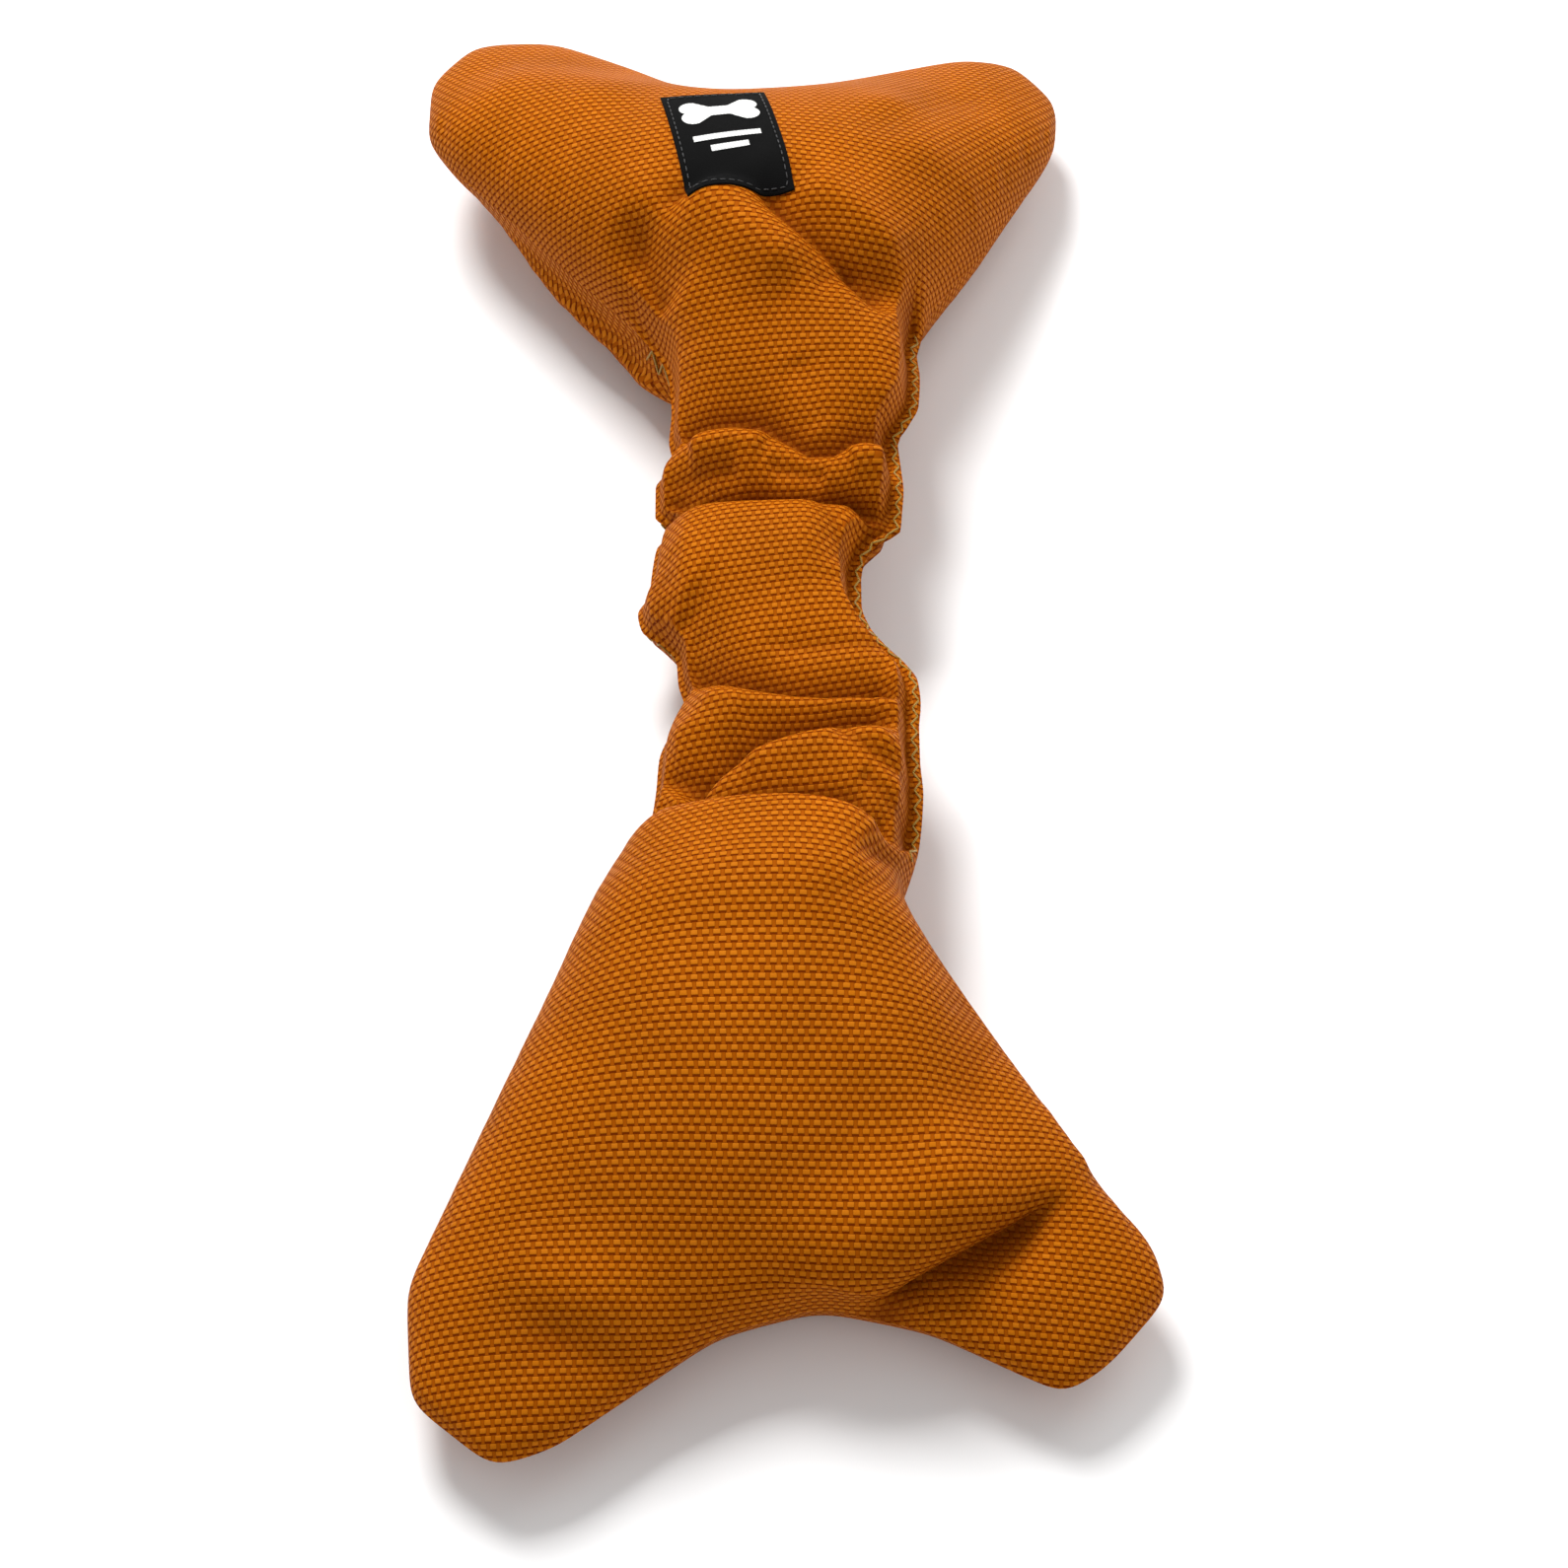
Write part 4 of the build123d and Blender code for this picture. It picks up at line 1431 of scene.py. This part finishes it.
@dataclass
class Seams:
    """Everything sewn inside and along the side seams: allowance, stitches, elastic, zigzag."""

    shape: CoverShape
    finishes: Finishes
    cover: Cover
    allowance: float = 6.0
    allowance_from: float = 1.6
    allowance_half: float = 0.4
    lock_inset: float = 2.4
    lock_height: float = 0.62
    lock_length: float = 4.0
    lock_radius: float = 0.25
    band_width: float = 4.0
    band_inset: float = 1.2
    band_thickness: float = 0.5
    zigzag_pitch: float = 2.1
    zigzag_height: float = 0.22
    zigzag_overlap: float = 0.3
    zigzag_radius: float = 0.26

    def border(self, section: Section) -> np.ndarray:
        """The seam line round a head, from its root up one side, along the end and back."""
        rows = self.cover.rows_of(section)
        p = self.shape.points[Side.FRONT]
        if section.low == -FAR:
            left, end, right = p[rows, 0][::-1], p[0], p[rows, -1]
        else:
            left, end, right = p[rows, 0], p[-1], p[rows, -1][::-1]
        return np.concatenate([left, end[1:-1], right])

    def head_seam(self, section: Section, head: str) -> None:
        """Seam allowance strip and lock stitches just inside a head's border.

        The strip runs beside the border, from just inside it to the allowance. The stitches lie on it.
        """
        line = resample(self.border(section), 360)
        line = blur_line(line, 2.0)
        along = np.gradient(line[:, :2], axis=0)
        along /= np.linalg.norm(along, axis=1, keepdims=True)
        inward = np.stack([along[:, 1], -along[:, 0]], axis=1)
        centre = line[:, :2].mean(axis=0)
        if ((centre - line[180, :2]) * inward[180]).sum() < 0:
            inward = -inward
        strips = []
        near, far, thick = self.allowance_from, self.allowance, self.allowance_half
        for reach, drop in ((near, thick), (far, thick), (far, -thick), (near, -thick)):
            q = line.copy()
            q[:, :2] += reach * inward
            q[:, 2] += drop
            strips.append(q)
        ring = np.stack(strips, axis=1)[12:-12]
        faces = np.concatenate([tube_faces(len(ring), 4), end_caps(len(ring))])
        strip = mesh_object(f"{head}_seam_strip", ring.reshape(-1, 3), faces, smooth=False)
        strip.data.materials.append(self.finishes.cover)
        set_uv(strip, "cloth", ring[..., :2])
        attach(strip, section.bodies[0])
        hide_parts(f"{head}_seam_allowance")
        pick = slice(16, -16, 5)
        centres = line[pick].copy()
        centres[:, :2] += self.lock_inset * inward[pick]
        centres[:, 2] += self.lock_height
        directions = np.concatenate([along[pick], np.zeros((len(centres), 1))], axis=1)
        lengths = np.full(len(centres), self.lock_length)
        stitches = tube_pieces(f"{head}_seam_thread", centres, directions, lengths, self.lock_radius)
        stitches.data.materials.append(self.finishes.cover_thread)
        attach(stitches, section.bodies[0])
        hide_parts(f"{head}_seam_stitches")

    def neck_elastic(self) -> None:
        """Two elastic bands inside the neck's side seams, cut at the same rows as the cover.

        Each band is a flat strip in the sewn edge, between the front and the back cloth.
        """
        seam, x = self.shape.seam_height(), self.shape.x
        near, far = self.band_inset, self.band_inset + self.band_width
        thick = self.band_thickness / 2
        for index, section in enumerate(SECTIONS[1:-1], start=1):
            rows = self.cover.rows_of(section)
            for name, side, sign in (("left", 0, -1), ("right", -1, 1)):
                line = self.shape.edge_line(side, rows).copy()
                line[:, 2] = seam[rows, side]
                line = line[np.unique(np.append(np.arange(0, len(line) - 1, 2), len(line) - 1))]
                offsets = np.array([[-near, 0, -thick], [-near, 0, thick],
                                    [-far, 0, thick], [-far, 0, -thick]])
                offsets = offsets * np.array([sign, 1.0, 1.0])
                tilt = float(np.mean((seam[rows, -1] - seam[rows, 0]) / (x[rows, -1] - x[rows, 0])))
                offsets[:, 2] += tilt * offsets[:, 0]
                ring = line[:, None] + offsets[None]
                faces = np.concatenate([tube_faces(len(ring), 4)[:, ::-1], end_caps(len(ring))])
                faces = faces if sign > 0 else faces[:, ::-1]
                band = mesh_object(f"{name}_elastic_{index}", ring.reshape(-1, 3), faces, smooth=False)
                band.data.materials.append(self.finishes.elastic)
                section.attach(band)
                if index == 3:
                    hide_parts(f"{name}_elastic_band")

    def edge_zigzag(self) -> None:
        """Zigzag thread along the neck's edges: on the front at the right, on the back at the left."""
        columns = {"left": (3, 9), "right": (-4, -10)}
        for index, section in enumerate(SECTIONS[1:-1], start=1):
            rows = self.cover.rows_of(section)
            for name, (outer, inner) in columns.items():
                face = Side.BACK if name == "left" else Side.FRONT
                p, n = self.shape.points[face], self.shape.normals[face]
                a, na = p[rows, outer], n[rows, outer]
                b, nb = p[rows, inner], n[rows, inner]
                run = run_length(a)
                count = max(2, int(run[-1] / self.zigzag_pitch))
                at = (np.arange(count) + 0.5) * run[-1] / count
                half = 0.5 * run[-1] / count

                def read(values: np.ndarray, where: np.ndarray) -> np.ndarray:
                    """Values along the edge at given lengths."""
                    return np.stack([np.interp(where, run, values[:, k]) for k in range(3)], axis=1)

                swap = np.arange(count) % 2 == 0
                start = np.where(swap[:, None], read(a, at - half), read(b, at - half))
                stop = np.where(swap[:, None], read(b, at + half), read(a, at + half))
                normal = 0.5 * (read(na, at) + read(nb, at))
                normal /= np.linalg.norm(normal, axis=1, keepdims=True)
                centre = 0.5 * (start + stop) + self.zigzag_height * normal
                gap = stop - start
                length = np.linalg.norm(gap, axis=1)
                direction = gap / length[:, None]
                length = length + self.zigzag_overlap
                title = f"{name}_edge_thread_{index}"
                piece = tube_pieces(title, centre, direction, length, self.zigzag_radius)
                piece.data.materials.append(self.finishes.edge_thread)
                section.attach(piece)
                if index == 3:
                    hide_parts(f"{name}_elastic_stitches")

    def build(self) -> None:
        """Makes all seam pieces."""
        self.head_seam(SECTIONS[0], "lower")
        self.head_seam(SECTIONS[-1], "upper")
        self.neck_elastic()
        self.edge_zigzag()
        LOG.info("seams: allowance, stitches, elastic and zigzag made")


@dataclass
class Label:
    """The woven label on the upper head, its stitches and its plain bone emblem."""

    cover: Cover
    finishes: Finishes
    width: float = 25.0
    length: float = 40.0
    centre: tuple[float, float] = (-10.6, 119.0)
    lean: float = 11.0
    squash: float = 0.8
    thickness: float = 0.5
    lift: float = 0.08
    stitch_inset: float = 1.3
    stitch_radius: float = 0.16
    knob: float = 2.9
    knob_apart: float = 2.2
    bar: float = 2.2
    reach: float = 6.4
    emblem_up: float = 9.5

    def to_plan(self, a: np.ndarray, b: np.ndarray) -> tuple[np.ndarray, np.ndarray]:
        """Plan position of label coordinates, turned by the lean and a little sheared."""
        turn = math.radians(self.lean)
        x = self.centre[0] + math.cos(turn) * a - math.sin(turn) * b
        y = self.centre[1] + math.sin(turn) * self.squash * a + math.cos(turn) * b
        return x, y

    def drape(self, a: np.ndarray, b: np.ndarray, above: float) -> np.ndarray:
        """Lays label points on the cover.

        Each point drops straight down onto the cover's front and is raised along its normal.

        Args:
            a: Across the label, in mm.
            b: Along the label, in mm.
            above: Height over the cloth, in mm.

        Returns:
            Points with the same leading shape and x, y, z last.
        """
        skins = [self.cover.pieces["upper_head_front"], self.cover.pieces["neck_6_front"]]
        verts: list[Vector] = []
        faces: list[tuple[int, ...]] = []
        for skin in skins:
            base = len(verts)
            verts += [v.co.copy() for v in skin.data.vertices]
            faces += [tuple(base + i for i in f.vertices) for f in skin.data.polygons]
        tree = BVHTree.FromPolygons(verts, faces)
        x, y = self.to_plan(a, b)
        out = np.zeros(x.shape + (3,))
        for index in np.ndindex(x.shape):
            origin = Vector((float(x[index]) * MM, float(y[index]) * MM, 0.2))
            hit, normal, _, _ = tree.ray_cast(origin, Vector((0, 0, -1)))
            if hit is None:
                out[index] = (x[index], y[index], 30.0)
            else:
                out[index] = np.array(hit + normal * above * MM) / MM
        return out

    def layer(self, name: str, a: np.ndarray, b: np.ndarray, low: float, high: float) -> bpy.types.Object:
        """A closed layer over the cover between two heights, on a grid of label coordinates."""
        points = []
        for above in (high, low):
            sheet = self.drape(a, b, above)
            points.append(np.stack([blur_grid(sheet[..., k], 2) for k in range(3)], axis=2).reshape(-1, 3))
        rows, columns = a.shape
        up = grid_faces(rows, columns)
        down = grid_faces(rows, columns, flip=True) + rows * columns
        edge = np.concatenate([
            np.arange(columns),
            np.arange(1, rows) * columns + columns - 1,
            (rows - 1) * columns + np.arange(columns - 2, -1, -1),
            np.arange(rows - 2, 0, -1) * columns,
        ])
        after = np.roll(edge, -1)
        wall = np.stack([after, edge, edge + rows * columns, after + rows * columns], axis=1)
        piece = mesh_object(name, np.concatenate(points), np.concatenate([up, down, wall]))
        set_uv(piece, "cloth", np.concatenate([np.stack([a, b], -1).reshape(-1, 2)] * 2))
        return piece

    def build(self) -> None:
        """Makes the label, its dashes of thread and its emblem."""
        columns, rows = np.linspace(-0.5, 0.5, 52), np.linspace(-0.5, 0.5, 82)
        a, b = np.meshgrid(columns * self.width, rows * self.length)
        label = self.layer("woven_label", a, b, self.lift, self.thickness)
        label.data.materials.append(self.finishes.label)
        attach(label, "upper_head")
        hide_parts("label")
        stitches = self.stitch_row()
        emblem = self.bone_emblem()
        LOG.info("label, stitches and emblem made")

    def stitch_row(self) -> bpy.types.Object:
        """Short stitches round the label, just inside its edge."""
        w, h = self.width / 2 - self.stitch_inset, self.length / 2 - self.stitch_inset
        corners = np.array([(-w, -h), (w, -h), (w, h), (-w, h), (-w, -h)])
        line = resample(corners, 61)
        mid = 0.5 * (line[1:] + line[:-1])
        p = self.drape(mid[:, 0], mid[:, 1], self.thickness + self.lift)
        q = self.drape(line[:, 0], line[:, 1], self.thickness + self.lift)
        gap = q[1:] - q[:-1]
        length = np.linalg.norm(gap, axis=1)
        direction = gap / length[:, None]
        piece = tube_pieces("label_thread", p, direction, length * 0.7, self.stitch_radius)
        piece.data.materials.append(self.finishes.label_thread)
        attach(piece, "upper_head")
        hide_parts("label_stitches")
        return piece

    def bone_emblem(self) -> bpy.types.Object:
        """A plain bone, a bar with two round knobs at each end, over two plain bars.

        The bone's outline is the farthest point of its parts along each ray from its centre.
        """
        t = np.linspace(0.0, 2 * np.pi, 121)[:-1]
        direction = np.stack([np.cos(t), np.sin(t)], axis=1)
        radius = np.zeros_like(t)
        for cx in (self.reach, -self.reach):
            for cy in (self.knob_apart, -self.knob_apart):
                along = direction @ np.array([cx, cy])
                inside = self.knob**2 - (cx**2 + cy**2 - along**2)
                knob = np.maximum(radius, along + np.sqrt(np.maximum(inside, 0.0)))
                radius = np.where((inside > 0) & (along > 0), knob, radius)
        side, top = np.maximum(np.abs(direction), 1e-6).T
        radius = np.maximum(radius, np.minimum(self.bar / top, self.reach / side))
        rings = np.linspace(0.0, 1.0, 9)[1:]
        a = np.concatenate([[0.0], (rings[:, None] * radius * direction[:, 0]).ravel()])
        b = np.concatenate([[0.0], (rings[:, None] * radius * direction[:, 1]).ravel()]) + self.emblem_up
        n = len(t)
        k = np.arange(n)
        fan = np.stack([np.zeros(n, int), 1 + k, 1 + (k + 1) % n], axis=1)
        tris = [fan]
        for ring in range(len(rings) - 1):
            lo, hi = 1 + ring * n, 1 + (ring + 1) * n
            tris.append(np.stack([lo + k, hi + k, hi + (k + 1) % n], axis=1))
            tris.append(np.stack([lo + k, hi + (k + 1) % n, lo + (k + 1) % n], axis=1))
        for middle, length in ((-1.5, 16.0), (-5.5, 9.0)):
            u, v = np.linspace(-0.5, 0.5, 17) * length, np.linspace(-0.5, 0.5, 4) * 2.0 + middle
            u, v = np.meshgrid(u, v)
            quads = grid_faces(4, 17) + len(a)
            tris += [quads[:, [0, 1, 2]], quads[:, [0, 2, 3]]]
            a, b = np.concatenate([a, u.ravel()]), np.concatenate([b, v.ravel()])
        points = self.drape(a, b, self.thickness + 2 * self.lift)
        piece = mesh_object("label_bone_emblem", points, np.concatenate(tris))
        piece.data.materials.append(self.finishes.emblem)
        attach(piece, "upper_head")
        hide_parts("label_emblem")
        return piece


@dataclass
class Studio:
    """Floor, lights, world and camera."""

    finishes: Finishes
    distance: float = 0.819
    elevation: float = 52.5
    yaw: float = 2.5
    pitch: float = 55.28
    roll: float = 3.2
    aim_side: float = -0.0004
    aim_height: float = 0.03
    lens: float = 84.7

    def floor(self) -> None:
        """A wide pale sweep just under the bumper, with a gentle swell far behind."""
        run = np.linspace(-3000, 3000, 61)
        x, y = np.meshgrid(run, run)
        z = 900.0 * smooth_step((y - 1400.0) / 1600.0) - 0.05
        points = np.stack([x, y, z], axis=2).reshape(-1, 3)
        piece = mesh_object("studio_floor", points, grid_faces(len(run), len(run)))
        piece.data.materials.append(self.finishes.floor)

    def lamp(self, name: str, place: tuple[float, float, float], size: float, power: float) -> None:
        """One square area light that faces the bumper."""
        data = bpy.data.lights.new(name, "AREA")
        data.shape = "SQUARE"
        data.size = size
        data.energy = power
        lamp = bpy.data.objects.new(name, data)
        lamp.location = place
        towards = Vector((0.0, 0.0, self.aim_height)) - Vector(place)
        lamp.rotation_euler = towards.to_track_quat("-Z", "Y").to_euler()
        bpy.context.scene.collection.objects.link(lamp)

    def lights(self) -> None:
        """Soft key from behind left, weak fill and rim lights, and an even pale surround."""
        self.lamp("key", (-0.40, 0.95, 1.25), 0.6, 29.0)
        self.lamp("fill", (0.5, -1.2, 1.2), 1.4, 3.0)
        self.lamp("rim", (0.9, 0.9, 0.8), 0.8, 6.0)
        world = bpy.data.worlds.new("studio surround")
        world.use_nodes = True
        back = world.node_tree.nodes["Background"]
        back.inputs[0].default_value = (1.0, 1.0, 1.0, 1.0)
        back.inputs[1].default_value = 0.52
        bpy.context.scene.world = world
        bpy.context.scene.view_settings.view_transform = "Standard"

    def camera(self) -> None:
        """Camera on the lower head's side, above it, looking a little nearer than the neck."""
        e, a, p, r = (math.radians(v) for v in (self.elevation, self.yaw, self.pitch, self.roll))
        flat = self.distance * math.cos(e)
        height = self.aim_height + self.distance * math.sin(e)
        place = Vector((flat * math.sin(a), -flat * math.cos(a), height))
        ahead = Vector((-math.sin(a) * math.cos(p), math.cos(a) * math.cos(p), -math.sin(p)))
        side = ahead.cross(Vector((0, 0, 1))).normalized()
        up = side.cross(ahead)
        rolled_side = math.cos(r) * side - math.sin(r) * up
        rolled_up = math.sin(r) * side + math.cos(r) * up
        place += side * self.aim_side
        data = bpy.data.cameras.new("studio camera")
        data.lens = self.lens
        data.sensor_width = 36.0
        data.clip_start = 0.01
        camera = bpy.data.objects.new("camera", data)
        turn = Matrix((rolled_side, rolled_up, -ahead)).transposed().to_4x4()
        camera.matrix_world = Matrix.Translation(place) @ turn
        bpy.context.scene.collection.objects.link(camera)
        bpy.context.scene.camera = camera

    def build(self) -> None:
        """Sets the whole studio."""
        self.floor()
        self.lights()
        self.camera()
        LOG.info("studio made")


def dress_frame_nodes(frame: dict, finishes: Finishes) -> None:
    """Gives the CAD nodes that stay their finish: the bar tacks that hold the elastic's ends."""
    for name in ("lower_bar_tacks", "upper_bar_tacks"):
        node = frame["nodes"][name]
        node.data.materials.clear()
        node.data.materials.append(finishes.cover_thread)


def main() -> None:
    """Loads the frame, builds every sub-assembly and notes the sizes."""
    logging.basicConfig(level=logging.INFO, format="%(name)s: %(message)s")
    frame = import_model()
    finishes = Finishes.build()
    studio = Studio(finishes)
    studio.build()
    shape = CoverShape()
    shape.build()
    LOG.info("stuffed height up to %.1f mm", float(shape.stuffing.max()))
    cover = Cover(shape, finishes)
    cover.build()
    Seams(shape, finishes, cover).build()
    Label(cover, finishes).build()
    dress_frame_nodes(frame, finishes)


if __name__ == "__main__":
    main()
